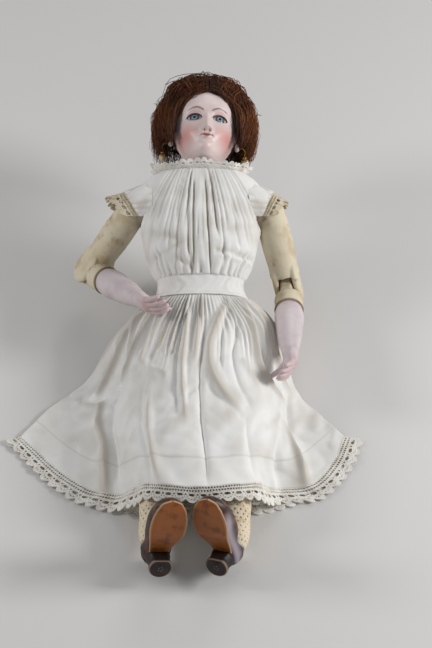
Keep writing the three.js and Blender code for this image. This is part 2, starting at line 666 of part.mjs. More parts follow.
doll.updateMatrixWorld(true);
for (const [name, side] of Object.entries(SIDES)) {
  const earring = new THREE.Group();
  earring.position.copy(neck.localToWorld(lobe(side)));
  doll.add(earring);
  const out = side * (LOBE_RADIUS + PEARL_RADIUS - 0.4);
  const foot = -EARRING_DROP - PEARL_RADIUS - GAP;
  const wire = join(
    rodAlongX(side * 0.8, out + side * EARRING_WIRE, EARRING_WIRE, 0, 0, 8),
    turned([[0, foot - 0.7], [1.2, foot - 0.7], [1.2, foot], [EARRING_WIRE, foot], [EARRING_WIRE, 0], [0, 0]], 8)
      .translate(out, 0, 0),
  );
  add(earring, `earring_wire_${name}`, wire, GILT);
  const pearl = bead(PEARL_RADIUS, EARRING_WIRE + GAP).translate(out, 0, -EARRING_DROP);
  add(earring, `earring_pearl_${name}`, pearl, PEARL);
  const beadDrop = EARRING_DROP - PEARL_RADIUS - BEAD_RADIUS - GAP;
  add(earring, `earring_bead_${name}`, bead(BEAD_RADIUS, EARRING_WIRE + GAP).translate(out, 0, -beadDrop), GILT);
}

// Arms: each arm frame has -Z down the upper arm and X along the elbow hinge
function armFrame(name) {
  const upper = vec(...ARMS[name].upper).normalize();
  const lower = vec(...ARMS[name].lower).normalize();
  const hinge = vec(0, 0, 0).crossVectors(lower, upper).normalize();
  const up = upper.clone().negate();
  const frame = new THREE.Group();
  frame.position.set(SIDES[name] * SHOULDER_REACH, 0, SHOULDER_LEVEL);
  frame.quaternion.setFromRotationMatrix(new THREE.Matrix4().makeBasis(hinge, up.clone().cross(hinge), up));
  return { frame, bend: upper.angleTo(lower) };
}

/** Wedge that is cut from the inside of the fold, so that the limb can bend. */
function foldWedge() {
  const wedge = block(vec(-FAR, -FAR, -FAR), vec(FAR, 0, 0));
  return wedge.rotateX(-radians(90 - ELBOW_MITRE));
}

/** Round limb through rows of level and radius, whose upper end may be rounded off. */
function limb(rows, count = 14, levels = 5, rounded = false) {
  const radiusAt = through(rows);
  const top = rows.at(-1);
  const rings = steps(rows[0][0], top[0], levels).map((level) => [level, radiusAt(level)[0]]);
  const dome = rounded ? steps(0, 1, 4).slice(1).map((t) => Math.min(t, 0.97) * (Math.PI / 2)) : [];
  rings.push(...dome.map((angle) => [top[0] + top[1] * Math.sin(angle), top[1] * Math.cos(angle)]));
  return loft(rings.map(([level, radius]) => oval(level, radius, radius, radius, count)));
}

function upperArm(name, frame) {
  const shaft = limb([[-UPPER_ARM, ELBOW_RADIUS], [-UPPER_ARM / 2, ARM_RADIUS + 0.6], [0, ARM_RADIUS]], 12, 4, true);
  const side = SIDES[name];
  const inside = side * (SHOULDER_HALF_WIDTH + 2 * GAP - SHOULDER_REACH);
  const root = rodAlongX(0, inside, SHOULDER_ROOT_RADIUS, 0, 0, 12);
  const turn = new THREE.Matrix4().makeRotationFromQuaternion(frame.quaternion.clone().invert());
  const mitred = cut(shaft, foldWedge().translate(0, 0, -UPPER_ARM));
  const cheeks = rodAlongX(-ELBOW_RADIUS, ELBOW_RADIUS, ELBOW_RADIUS, 0, -UPPER_ARM, 16);
  const slot = rodAlongX(-TONGUE_HALF_WIDTH - GAP, TONGUE_HALF_WIDTH + GAP, ELBOW_RADIUS + GAP, 0, -UPPER_ARM, 16);
  const elbowBall = vec(1, 1, 1).multiplyScalar(ELBOW_RADIUS + 1.6);
  const rounded = keep(cheeks, ellipsoid(vec(0, 0, -UPPER_ARM), elbowBall, 12, 6));
  return cut(join(mitred, rounded, root.applyMatrix4(turn)), slot);
}

// Forearm frame: origin at the elbow hinge, -Z down the forearm, palm towards -Y before the twist
function cuff() {
  const rows = [[-CUFF_LENGTH, FOREARM_TOP_RADIUS], [-CUFF_LENGTH / 2, ELBOW_RADIUS + 0.2], [0, ELBOW_RADIUS]];
  const shaft = limb(rows, 12, 3);
  const mitre = block(vec(-FAR, -FAR, 0), vec(FAR, 0, FAR)).rotateX(radians(90 - ELBOW_MITRE));
  const tongue = rodAlongX(-TONGUE_HALF_WIDTH, TONGUE_HALF_WIDTH, ELBOW_RADIUS, 0, 0, 18);
  const clear = [1, -1].map((side) => rodAlongX(side * TONGUE_HALF_WIDTH, side * FAR, ELBOW_RADIUS + GAP, 0, 0, 18));
  return cut(join(cut(shaft, mitre), tongue), ...clear);
}

/** Finger or thumb: a tapering tube with a bend towards the palm. */
function finger(base, direction, curl, length, radius) {
  const rings = steps(0, 1, 3).map((t) => {
    const angle = curl * t;
    const middle = base.clone().addScaledVector(direction, (length * Math.sin(angle)) / Math.max(curl, 0.01))
      .add(vec(0, (-length * (1 - Math.cos(angle))) / Math.max(curl, 0.01), 0));
    const size = radius * (1 - 0.25 * t) * (t === 1 ? 0.55 : 1);
    const along = direction.clone().multiplyScalar(Math.cos(angle)).add(vec(0, -Math.sin(angle), 0)).normalize();
    const sideways = along.clone().cross(vec(0, 1, 0.01)).normalize();
    const lift = sideways.clone().cross(along);
    return steps(0, 2 * Math.PI, 6).slice(0, 6).map((a) => middle.clone()
      .addScaledVector(sideways, size * Math.cos(a)).addScaledVector(lift, size * Math.sin(a)));
  });
  return loft(rings);
}

function bisqueForearm(side) {
  const top = -CUFF_LENGTH - BINDING_LENGTH - 2 * GAP;
  const arm = limb([[-FOREARM, WRIST_RADIUS], [(-FOREARM + top) / 2 - 6, FOREARM_SWELL - 1.6],
    [top - 11, FOREARM_SWELL], [top, FOREARM_TOP_RADIUS]], 12, 6);
  const palmMiddle = -FOREARM - PALM_LENGTH / 2 + 3;
  const palm = ellipsoid(vec(0, 0, palmMiddle), vec(PALM_HALF_WIDTH, PALM_HALF_DEPTH, PALM_LENGTH / 2 + 3), 10, 6);
  const knuckles = -FOREARM - PALM_LENGTH + 3;
  const fingers = steps(-1, 1, 3).map((t) => finger(
    vec(t * (PALM_HALF_WIDTH - FINGER_RADIUS), 0, knuckles + 1.2 - 0.8 * (1 - t * t)),
    vec(0.12 * t, 0, -1).normalize(),
    1.3 - 0.2 * t * side, FINGER_LENGTH - 2 * t * t, FINGER_RADIUS + 0.3));
  const thumbBase = vec(-side * (PALM_HALF_WIDTH - 2), -1, -FOREARM - 3);
  const thumb = finger(thumbBase, vec(-side * 0.45, -0.35, -0.8).normalize(),
    0.7, FINGER_LENGTH, FINGER_RADIUS + 0.4);
  const hand = join(palm, ...fingers, thumb).rotateZ(radians(ARMS[side > 0 ? 'left' : 'right'].twist));
  return join(arm, hand);
}

/** Part of a turned shell about the shoulder hinge, on the side away from the arm, with ripples along its edge. */
function sleevePart(side, profile, downAngle, thickness, ripple, rows) {
  return sheet((u, v) => {
    const angle = downAngle + Math.PI + radians(SLEEVE_SWEEP) * (2 * u - 1);
    const [reach, radius] = profile(v);
    const waved = radius + ripple * v * Math.sin(u * Math.PI * SLEEVE_WAVES);
    return vec(side * (reach - SHOULDER_REACH), waved * Math.sin(angle), -waved * Math.cos(angle));
  }, 2 * SLEEVE_WAVES, rows, thickness);
}

for (const [name, side] of Object.entries(SIDES)) {
  const { frame, bend } = armFrame(name);
  body.add(frame);
  add(frame, `upper_arm_${name}`, upperArm(name, frame), KID);

  const elbow = new THREE.Group();
  elbow.position.z = -UPPER_ARM;
  elbow.rotation.x = -bend;
  frame.add(elbow);
  add(elbow, `elbow_cuff_${name}`, cuff(), KID);
  add(elbow, `cuff_binding_${name}`, ringPlate(FOREARM_TOP_RADIUS + BINDING_PROUD, FOREARM_TOP_RADIUS - 3,
    -CUFF_LENGTH - GAP - BINDING_LENGTH, -CUFF_LENGTH - GAP), KID);
  add(elbow, `forearm_${name}`, bisqueForearm(side), BISQUE);

  const shoulder = new THREE.Group();
  shoulder.position.copy(frame.position);
  body.add(shoulder);
  const [, backward, downward] = ARMS[name].upper;
  const downAngle = Math.atan2(backward, -downward);
  const seam = SHOULDER_HALF_WIDTH + SLEEVE_TUCK;
  const seamRadius = ARMHOLE_RADIUS - 2 * GAP - CLOTH / 2;
  const cap = (v) => [seam + SLEEVE_WIDTH * v, seamRadius - SLEEVE_TAPER * v
    + SLEEVE_PUFF * Math.max(0, Math.sin(((v - SLEEVE_FLAT) / (1 - SLEEVE_FLAT)) * Math.PI))];
  const [edgeReach, edgeRadius] = cap(1);
  const slope = radians(SLEEVE_LACE_SLOPE);
  const frill = (v) => [edgeReach + 2 * GAP + SLEEVE_LACE_WIDTH * v * Math.cos(slope),
    edgeRadius + SLEEVE_LACE_WIDTH * v * Math.sin(slope)];
  add(shoulder, `sleeve_${name}`, sleevePart(side, cap, downAngle, CLOTH, 0.5, 4), COTTON);
  add(shoulder, `sleeve_lace_${name}`, sleevePart(side, frill, downAngle, LACE, 1, 1), LACE_THREAD);
}

// Dress bodice, waistband and neck frill, on the body frame
const dressAt = through([
  [BAND_TOP, ...bodyAt(BAND_TOP).map((half) => half + BODICE_EASE + CLOTH / 2)],
  [BLOUSE_LEVEL, BLOUSE_HALF_WIDTH, BLOUSE_FRONT, BLOUSE_BACK],
  [SHOULDER_LEVEL, YOKE_HALF_WIDTH, YOKE_FRONT, YOKE_BACK],
  [BODICE_TOP, NECKLINE_HALF_WIDTH, NECKLINE_FRONT, NECKLINE_BACK],
]);

function bodice() {
  const shell = sheet((u, v) => {
    const angle = 2 * Math.PI * u;
    const level = BAND_TOP + GAP + (BODICE_TOP - BAND_TOP - GAP) * v;
    const [halfWidth, front, back] = dressAt(level);
    const pleat = PLEAT_DEPTH * (0.3 + 0.7 * v) * Math.sin(BODICE_PLEATS * angle);
    const depth = (Math.sin(angle) > 0 ? front : back) + pleat;
    return vec((halfWidth + pleat) * Math.cos(angle), -depth * Math.sin(angle), level);
  }, 3 * BODICE_PLEATS, 6, CLOTH, true);
  const armholes = [1, -1].map((side) => rodAlongX(side * (SHOULDER_HALF_WIDTH - 8), side * FAR, ARMHOLE_RADIUS, 0,
    SHOULDER_LEVEL, 20));
  return cut(shell, ...armholes);
}

function waistband() {
  return sheet((u, v) => {
    const level = BAND_BOTTOM + (BAND_TOP - BAND_BOTTOM) * v;
    const [halfWidth, front, back] = bodyAt(level);
    const angle = 2 * Math.PI * u;
    const ease = BAND_EASE + CLOTH / 2;
    const depth = (Math.sin(angle) > 0 ? front : back) + ease;
    return vec((halfWidth + ease) * Math.cos(angle), -depth * Math.sin(angle), level);
  }, 28, 1, CLOTH, true);
}

function neckFrill() {
  const [halfWidth, front, back] = dressAt(BODICE_TOP);
  return sheet((u, v) => {
    const angle = 2 * Math.PI * u;
    const flare = FRILL_FLARE * v + 1.3 * v * Math.cos(FRILL_WAVES * angle);
    const depth = (Math.sin(angle) > 0 ? front : back) + flare;
    const level = BODICE_TOP + 2 * GAP + LACE / 2 + FRILL_HEIGHT * v;
    return vec((halfWidth + flare) * Math.cos(angle), -depth * Math.sin(angle), level);
  }, 2 * FRILL_WAVES, 1, LACE, true);
}

add(body, 'bodice', bodice(), COTTON);
add(body, 'waistband', waistband(), COTTON);
add(body, 'neck_frill', neckFrill(), LACE_THREAD);
BACK_BUTTON_LEVELS.forEach((level, index) => {
  const [, , back] = dressAt(level);
  const dome = turned([[0, 0], [BACK_BUTTON_RADIUS, 0], [BACK_BUTTON_RADIUS, 0.7], [BACK_BUTTON_RADIUS * 0.6,
    BACK_BUTTON_HEIGHT], [0, BACK_BUTTON_HEIGHT]], 12);
  const seat = back + PLEAT_DEPTH + CLOTH / 2 + GAP;
  add(body, `back_button_${index + 1}`, dome.rotateX(-Math.PI / 2).translate(0, seat, level), HORN);
});

// Legs, stockings and shoes
const MID_THIGH_RADIUS = (KNEE_RADIUS + THIGH_RADIUS) / 2;
const legRows = [
  [-ANKLE - 4, ANKLE_RADIUS, ANKLE_RADIUS, ANKLE_RADIUS + 0.6],
  [-ANKLE + 12, ANKLE_RADIUS, ANKLE_RADIUS, ANKLE_RADIUS + 0.6],
  [-KNEE - 24, CALF_RADIUS, CALF_RADIUS - 0.6, CALF_RADIUS + 1],
  [-KNEE, KNEE_RADIUS - 0.6, KNEE_RADIUS, KNEE_RADIUS - 0.4],
  [-KNEE / 2, (KNEE_RADIUS + THIGH_HALF_WIDTH) / 2, MID_THIGH_RADIUS, MID_THIGH_RADIUS],
  [0, THIGH_HALF_WIDTH, THIGH_RADIUS, THIGH_RADIUS],
];
const legAt = through(legRows);

function legLoft(offset) {
  const levels = [-ANKLE - 4, -ANKLE + 12, ...steps(-ANKLE + 26, 0, 5)];
  const rings = levels.map((level) => {
    const [halfWidth, front, back] = legAt(level);
    return oval(level, halfWidth + offset, front + offset, back + offset, 12);
  });
  const dome = steps(0, 1, 4).slice(1).map((t) => Math.min(t, 0.97) * (Math.PI / 2));
  const wide = THIGH_HALF_WIDTH + offset;
  const deep = THIGH_RADIUS + offset;
  rings.push(...dome.map((angle) => {
    const round = Math.cos(angle);
    return oval(deep * Math.sin(angle), wide * round, deep * round, deep * round, 12);
  }));
  return loft(rings);
}

// Foot in the shoe's own frame: ground at Z 0, toes towards -Y, below the ankle at Y 0
const SOLE_STACK = SOLE_THICKNESS + 2 * GAP + UPPER_WALL + GAP + STOCKING_WALL + GAP;
const footAt = through([
  [-FOOT_TOE, 3.5, SOLE_STACK + 2.2, SOLE_STACK + 7],
  [-FOOT_TOE + 5, FOOT_HALF_WIDTH - 1.8, SOLE_STACK + 1, SOLE_STACK + 10],
  [-FOOT_TOE + 15, FOOT_HALF_WIDTH + 0.6, SOLE_STACK, SOLE_STACK + 13],
  [-FOOT_TOE + 28, FOOT_HALF_WIDTH - 0.4, SOLE_STACK + HEEL_LIFT * 0.35, SOLE_STACK + 20],
  [-4, FOOT_HALF_WIDTH - 1.2, SOLE_STACK + HEEL_LIFT, ANKLE_HEIGHT + 2],
  [FOOT_HEEL - 4, FOOT_HALF_WIDTH - 2, SOLE_STACK + HEEL_LIFT, ANKLE_HEIGHT],
  [FOOT_HEEL, 4.5, SOLE_STACK + HEEL_LIFT + 3, ANKLE_HEIGHT - 7],
]);

const toeStations = [0, 2, 5, 10].map((step) => step - FOOT_TOE);
const footStations = [...toeStations, ...steps(-FOOT_TOE + 16, FOOT_HEEL - 4, 5), FOOT_HEEL];

function footLoft(offset, count = 10) {
  return loft(footStations.map((y) => {
    const [halfWidth, low, high] = footAt(y);
    const middle = (low + high) / 2;
    const half = (high - low) / 2 + offset;
    const end = y === -FOOT_TOE ? -offset : offset * (y === FOOT_HEEL);
    return steps(0, 2 * Math.PI, count).slice(0, count).map((angle) => {
      const flat = Math.sin(angle) < 0 ? 0.55 : 1;
      const wide = (halfWidth + offset) * Math.sign(Math.cos(angle)) * Math.abs(Math.cos(angle)) ** flat;
      return vec(wide, y + end, middle + half * Math.sin(angle));
    });
  }));
}

/** Sole plate: the foot's outline let out, under the foot's arched bottom. */
function sole() {
  const rows = [-FOOT_TOE - 3, ...footStations, FOOT_HEEL + 3];
  const reach = UPPER_WALL + GAP + STOCKING_WALL + GAP + SOLE_PROUD;
  const sections = rows.map((y) => {
    const place = THREE.MathUtils.clamp(y, -FOOT_TOE, FOOT_HEEL);
    const [halfWidth, low] = footAt(place);
    const waist = 1 - 0.22 * bump(y + FOOT_TOE - 33, 9);
    const half = (halfWidth + reach) * waist - (y === place ? 0 : 2.6);
    const heelEnd = place === FOOT_HEEL ? -3 : 0;
    const toeEnd = place < -FOOT_TOE + 2 ? -1.4 : 0;
    const top = low + heelEnd + toeEnd - (SOLE_STACK - SOLE_THICKNESS);
    const bottom = top - SOLE_THICKNESS;
    return [vec(-half, y, top), vec(half, y, top), vec(half, y, bottom), vec(-half, y, bottom)];
  });
  return loft(sections);
}

function shoeHeel() {
  const top = HEEL_LIFT - GAP;
  const topPiece = [[0, 0], [HEEL_RADIUS - 0.5, 0], [HEEL_RADIUS, 0.6]];
  const profile = [...topPiece, [HEEL_RADIUS - 0.7, 4], [HEEL_RADIUS + HEEL_FLARE, top], [0, top]];
  const stack = turned(profile, 20).translate(0, FOOT_HEEL - HEEL_RADIUS, 0);
  const breast = block(vec(-FAR, -FAR, -FAR), vec(FAR, FOOT_HEEL - HEEL_RADIUS * 1.75, FAR));
  return cut(stack, breast);
}

function shoeUpper() {
  const inner = STOCKING_WALL + 2 * GAP;
  const slope = Math.atan2(TOPLINE_HEIGHT - 19, FOOT_TOE);
  const opening = block(vec(-FAR, -FOOT_TOE + VAMP_LENGTH, 0), vec(FAR, FAR, FAR)).rotateX(slope * 0.6)
    .translate(0, 0, TOPLINE_HEIGHT - 2);
  const ankle = new THREE.CylinderGeometry(ANKLE_RADIUS + 3, ANKLE_RADIUS + 3, FAR, 20).rotateX(Math.PI / 2)
    .translate(0, 0, FAR / 2 + SOLE_STACK + HEEL_LIFT + 3);
  return cut(footLoft(inner + UPPER_WALL), footLoft(inner), opening, ankle);
}

function rosette() {
  const petals = 8;
  const ring = (radius, level) => steps(0, 2 * Math.PI, 2 * petals).slice(0, 2 * petals).map((angle, i) => {
    const reach = radius * (i % 2 ? PETAL_NOTCH : 1);
    return vec(reach * Math.cos(angle), reach * Math.sin(angle), level);
  });
  return loft([ring(ROSETTE_RADIUS * 0.9, 0), ring(ROSETTE_RADIUS, 0.6), ring(ROSETTE_RADIUS * 0.5, ROSETTE_HEIGHT)]);
}

for (const [name, side] of Object.entries(SIDES)) {
  const leg = new THREE.Group();
  leg.position.set(side * HIP_SPREAD, 0, HIP_HEIGHT);
  leg.rotation.set(radians(-90 + LEG_DROP), 0, radians(side * LEG_SPLAY[name]), 'ZXY');
  doll.add(leg);
  const shoe = new THREE.Group();
  shoe.rotation.set(radians(FOOT_LEAN), radians(FOOT_ROLL[name]), radians(-FOOT_TURN[name]), 'ZXY');
  shoe.position.copy(vec(0, 0, -ANKLE_HEIGHT).applyEuler(shoe.rotation)).add(vec(0, 0, -ANKLE));
  leg.add(shoe);
  shoe.updateMatrix();
  const foot = (offset) => footLoft(offset).applyMatrix4(shoe.matrix);

  add(leg, `leg_${name}`, join(legLoft(0), foot(0)), KID);
  const knit = join(legLoft(GAP + STOCKING_WALL), foot(GAP + STOCKING_WALL));
  const above = block(vec(-FAR, -FAR, -STOCKING_TOP), vec(FAR, FAR, FAR));
  add(leg, `stocking_${name}`, cut(knit, join(legLoft(GAP), foot(GAP)), above), STOCKING_KNIT);

  add(shoe, `shoe_upper_${name}`, shoeUpper(), SHOE_LEATHER);
  add(shoe, `shoe_sole_${name}`, sole(), SOLE_LEATHER);
  add(shoe, `shoe_heel_${name}`, shoeHeel(), SHOE_LEATHER);
  const vampTop = -FOOT_TOE + VAMP_LENGTH - ROSETTE_RADIUS - 4;
  const [, , instep] = footAt(vampTop);
  const vampFace = instep + STOCKING_WALL + 2 * GAP + UPPER_WALL + 0.8;
  const bow = rosette().rotateX(radians(ROSETTE_SLOPE)).translate(0, vampTop, vampFace);
  add(shoe, `shoe_rosette_${name}`, bow, SHOE_LEATHER);
}

// Skirt: cross lines from the doll's right to its left, from the waist to the hem
const waistPoint = (angle) => {
  const [halfWidth, front, back] = bodyAt(BAND_BOTTOM);
  const ease = BAND_EASE + CLOTH / 2;
  const depth = (Math.sin(angle) > 0 ? front : back) + ease;
  const level = BAND_BOTTOM - GAP - CLOTH / 2;
  return vec((halfWidth + ease) * Math.cos(angle), -depth * Math.sin(angle), level).applyMatrix4(body.matrixWorld);
};

const points = (rows) => rows.map((row) => vec(...row));
const flat = (rows, lie) => rows.map(([x, y]) => vec(x, y, lie));
const SEAM_TURN = 0.07; // side seams at the waist, from the sides
const frontLines = [
  steps(Math.PI - SEAM_TURN, SEAM_TURN, 8).map(waistPoint),
  points([[-51, 21, 20], [-42, 12, 38], [-20, -2, 50], [2, -4, 51], [22, -2, 50], [43, 14, 38], [51, 25, 20]]),
  points([[-62, -12, 3.4], [-54, -26, 22], [-38, -38, 40], [-18, -46, 49], [4, -48, 50], [24, -46, 49], [42, -40, 36],
    [56, -30, 18], [66, -20, 3.4]]),
  points([[-96, -38, 3], [-68, -66, 5], [-50, -78, 18], [-38, -88, 37], [-18, -96, 46], [4, -98, 47], [24, -96, 46],
    [42, -88, 36], [54, -76, 18], [66, -60, 5], [85, -47, 3]]),
  points([[-120, -62, 3], [-92, -93, 3], [-73, -108, 3], [-56, -114, 5], [-43, -119, 18], [-33, -129, 36],
    [-12, -138, 45], [10, -139, 46], [28, -134, 43], [38, -126, 33], [45, -114, 13], [53, -108, 3.6],
    [74, -104, 3], [90, -83, 3], [98, -62, 3]]),
];
const frontLace = points([[-134, -64, 2], [-101, -105, 2], [-79, -121, 2], [-59, -128, 3], [-46, -132, 12],
  [-35, -139, 29], [-12, -146, 36], [10, -147, 37], [30, -142, 34], [42, -135, 22], [49, -127, 7], [55, -121, 2.4],
  [81, -117, 2], [103, -90, 2], [112, -64, 2]]);
const BACK_LIE = SKIRT_BACK_CLOTH / 2;
const FRONT_LIE = SKIRT_BACK_CLOTH + GAP + CLOTH / 2;
const backLines = [
  steps(Math.PI + SEAM_TURN, 2 * Math.PI - SEAM_TURN, 8).map(waistPoint),
  points([[-51, 23, 17], [-30, 38, 10], [0, 44, 8], [30, 38, 10], [51, 27, 17]]),
  flat([[-58, 12], [-30, 30], [0, 36], [30, 30], [60, 16]], BACK_LIE),
  flat([[-62, -12], [0, 0], [66, -20]], BACK_LIE),
  flat([[-96, -38], [0, -60], [85, -47]], BACK_LIE),
  flat([[-120, -62], [-74, -102], [0, -116], [66, -102], [98, -62]], BACK_LIE),
];
const LACE_LIE = LACE / 2;
const FRONT_LACE_LIE = LACE + GAP + LACE / 2;
const backHem = flat([[-121, -63], [-75, -103], [0, -117], [67, -103], [99, -63]], LACE_LIE);
const backLace = flat([[-134, -66], [-82, -116], [0, -132], [74, -116], [112, -66]], LACE_LIE);

/** Surface swept through cross lines, each an even curve through its points. */
function sweptThrough(lines) {
  const even = (line) => new THREE.CatmullRomCurve3(line, false, 'centripetal');
  const curves = lines.map(even);
  return (u, v) => even(curves.map((curve) => curve.getPointAt(u))).getPoint(v);
}

/** Surface held up by what it lies on. */
const lying = (surface, lie) => (u, v) => {
  const place = surface(u, v);
  return place.setZ(Math.max(place.z, lie));
};

function skirtFront() {
  const drape = sweptThrough(frontLines);
  const folded = (u, v) => {
    const place = drape(u, v);
    const folds = Math.sin(2 * Math.PI * SKIRT_FOLDS * u) + 0.6 * Math.sin(2 * Math.PI * SKIRT_CREASES * u + 2);
    const raised = Math.sin(Math.PI * u) ** 0.6 * THREE.MathUtils.smoothstep(place.z, 6, 20);
    place.z += SKIRT_FOLD_DEPTH * folds * raised * Math.min(1, 3 * v) * (1 - 0.5 * v);
    return place;
  };
  return sheet(lying(folded, FRONT_LIE), SKIRT_COLUMNS, 6, CLOTH);
}

add(doll, 'skirt_front', skirtFront(), COTTON);
const skirtBack = lying(sweptThrough(backLines), BACK_LIE);
add(doll, 'skirt_back', sheet(skirtBack, SKIRT_BACK_COLUMNS, 8, SKIRT_BACK_CLOTH), COTTON);
const laceSeam = frontLines.at(-1).map((place, i) => place.clone().lerp(frontLace[i], LACE_SEAM));
const frontEdging = lying(sweptThrough([laceSeam, frontLace]), FRONT_LACE_LIE);
add(doll, 'hem_lace_front', sheet(frontEdging, SKIRT_COLUMNS, 1, LACE), LACE_THREAD);
const backEdging = lying(sweptThrough([backHem, backLace]), LACE_LIE);
add(doll, 'hem_lace_back', sheet(backEdging, SKIRT_BACK_COLUMNS, 1, LACE), LACE_THREAD);

export default doll;
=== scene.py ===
"""Bisque fashion doll, seated on the floor in a cotton dress with lace at its hem, neck and sleeves."""

from __future__ import annotations

import json
import logging
import math
from dataclasses import dataclass, field
from enum import Enum
from functools import partial
from typing import Callable, Optional, Sequence

import bpy
import bmesh
import numpy as np
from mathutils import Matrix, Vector

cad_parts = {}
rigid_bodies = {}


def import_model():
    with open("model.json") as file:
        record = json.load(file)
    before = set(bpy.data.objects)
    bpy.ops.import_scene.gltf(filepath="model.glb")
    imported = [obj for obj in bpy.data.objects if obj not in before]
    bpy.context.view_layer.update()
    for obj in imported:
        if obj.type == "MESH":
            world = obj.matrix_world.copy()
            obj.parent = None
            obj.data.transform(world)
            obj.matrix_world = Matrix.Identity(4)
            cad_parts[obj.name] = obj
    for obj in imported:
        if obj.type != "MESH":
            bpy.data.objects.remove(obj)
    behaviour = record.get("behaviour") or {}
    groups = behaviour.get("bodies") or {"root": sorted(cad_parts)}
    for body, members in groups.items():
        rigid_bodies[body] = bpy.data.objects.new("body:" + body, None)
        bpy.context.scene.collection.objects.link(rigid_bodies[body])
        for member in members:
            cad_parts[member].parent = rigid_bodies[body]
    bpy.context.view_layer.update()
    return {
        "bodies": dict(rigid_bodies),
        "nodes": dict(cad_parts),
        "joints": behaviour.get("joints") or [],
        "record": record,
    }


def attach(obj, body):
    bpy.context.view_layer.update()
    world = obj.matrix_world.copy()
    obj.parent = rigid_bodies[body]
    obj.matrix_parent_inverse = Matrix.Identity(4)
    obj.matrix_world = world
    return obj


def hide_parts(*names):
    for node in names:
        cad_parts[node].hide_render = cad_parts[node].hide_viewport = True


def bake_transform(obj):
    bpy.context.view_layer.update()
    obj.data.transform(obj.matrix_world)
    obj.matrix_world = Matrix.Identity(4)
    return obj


LOG = logging.getLogger("doll")
Array = np.ndarray
Span = tuple[float, float]
Triple = tuple[float, float, float]
Colour = Triple
Pair = tuple[Array, Array]
Object = bpy.types.Object
Material = bpy.types.Material
Socket = bpy.types.NodeSocket
MM = 0.001


class Side(Enum):
    """The doll's own left and right; the value is the sign of X."""

    LEFT = 1
    RIGHT = -1

    @property
    def label(self) -> str:
        """The word used in node and body names."""
        return self.name.lower()


# Frames


def turn_about(axis: int, degrees: float) -> Array:
    """Rotation matrix about one axis, 0 to 2 for X to Z, by an angle in degrees."""
    angle = math.radians(degrees)
    first, second = (axis + 1) % 3, (axis + 2) % 3
    turn = np.eye(3)
    turn[first, first] = math.cos(angle)
    turn[second, second] = math.cos(angle)
    turn[first, second] = -math.sin(angle)
    turn[second, first] = math.sin(angle)
    return turn


turn_x, turn_y, turn_z = (partial(turn_about, axis) for axis in range(3))


@dataclass(frozen=True)
class Frame:
    """A right-handed frame inside the row frame, in millimetres."""

    turn: Array
    origin: Array

    def row(self, points: Array) -> Array:
        """Points of this frame in the row frame: turn times point plus origin.

        Args:
            points: local points, any shape ending in 3.

        Returns:
            The same points in millimetres of the row frame.
        """
        return np.asarray(points, dtype=float) @ self.turn.T + self.origin

    def local(self, points: Array) -> Array:
        """Points of the row frame in this frame: point less origin, with the turn undone."""
        return (points - self.origin) @ self.turn

    def carry(self, part: Pair) -> Pair:
        """A part's vertices in the row frame, with its faces."""
        return self.row(part[0]), part[1]

    def within(self, origin: Sequence[float], turn: Optional[Array] = None) -> "Frame":
        """A child frame given by its origin and turn in this frame."""
        own = np.eye(3) if turn is None else turn
        return Frame(self.turn @ own, self.row(np.array(origin)))


@dataclass(frozen=True)
class Pose:
    """How the doll sits: the sizes that place every sub-assembly, in millimetres and degrees."""

    torso_lean: float = 32
    head_lean: float = 20
    head_turn: float = 5
    head_roll: float = 3
    hip_height: float = 23.9
    hip_spread: float = 19.6
    neck_level: float = 112
    shoulder_level: float = 96
    shoulder_reach: float = 48.5
    upper_arm: float = 56
    forearm: float = 72
    ankle: float = 156
    ankle_height: float = 30
    leg_drop: float = 2.4
    foot_lean: float = -16

    def body(self) -> Frame:
        """The trunk's frame: Z runs up the spine and -Y is the chest."""
        return Frame(turn_x(self.torso_lean - 90), np.array([0, 0, self.hip_height]))

    def neck(self) -> Frame:
        """The head's frame at the middle of the neck's ball."""
        turn = turn_x(self.head_lean - self.torso_lean) @ turn_y(self.head_roll) @ turn_z(self.head_turn)
        return self.body().within((0, 0, self.neck_level), turn)

    def arm(self, side: Side) -> Frame:
        """The upper arm's frame: origin at the shoulder, -Z down the arm, X along the elbow's hinge."""
        upper, lower = ARM_LINES[side]
        up = -np.array(upper) / np.linalg.norm(upper)
        hinge = np.cross(lower, upper)
        hinge = hinge / np.linalg.norm(hinge)
        basis = np.column_stack([hinge, np.cross(up, hinge), up])
        return self.body().within((side.value * self.shoulder_reach, 0, self.shoulder_level), basis)

    def elbow(self, side: Side) -> Frame:
        """The forearm's frame: origin at the elbow's pin, -Z toward the hand."""
        upper, lower = (np.array(line) / np.linalg.norm(line) for line in ARM_LINES[side])
        bend = math.degrees(math.acos(float(np.dot(upper, lower))))
        return self.arm(side).within((0, 0, -self.upper_arm), turn_x(-bend))

    def leg(self, side: Side) -> Frame:
        """The leg's frame: origin at the hip, -Z toward the foot, +Y up."""
        turn = turn_z(side.value * LEG_SPLAY[side]) @ turn_x(self.leg_drop - 90)
        return Frame(turn, np.array([side.value * self.hip_spread, 0, self.hip_height]))

    def shoe(self, side: Side) -> Frame:
        """The shoe's frame: origin on its sole under the ankle, +Y away from the toe, +Z up the shoe."""
        turn = turn_z(-FOOT_TURN[side]) @ turn_x(self.foot_lean) @ turn_y(FOOT_ROLL[side])
        drop = turn @ np.array([0, 0, -self.ankle_height])
        return self.leg(side).within(drop + np.array([0, 0, -self.ankle]), turn)


ARM_LINES = {
    Side.LEFT: ((14.5, 22.7, -54.3), (-1, -46.8, -53.3)),
    Side.RIGHT: ((-28.5, 30.1, -33), (40.6, -57.5, -34)),
}
HAND_TWIST = {Side.LEFT: -60.0, Side.RIGHT: 35.0}
LEG_SPLAY = {Side.LEFT: 1.2, Side.RIGHT: 3.6}
FOOT_TURN = {Side.LEFT: 7.0, Side.RIGHT: -9.0}
FOOT_ROLL = {Side.LEFT: 24.0, Side.RIGHT: -12.0}
POSE = Pose()


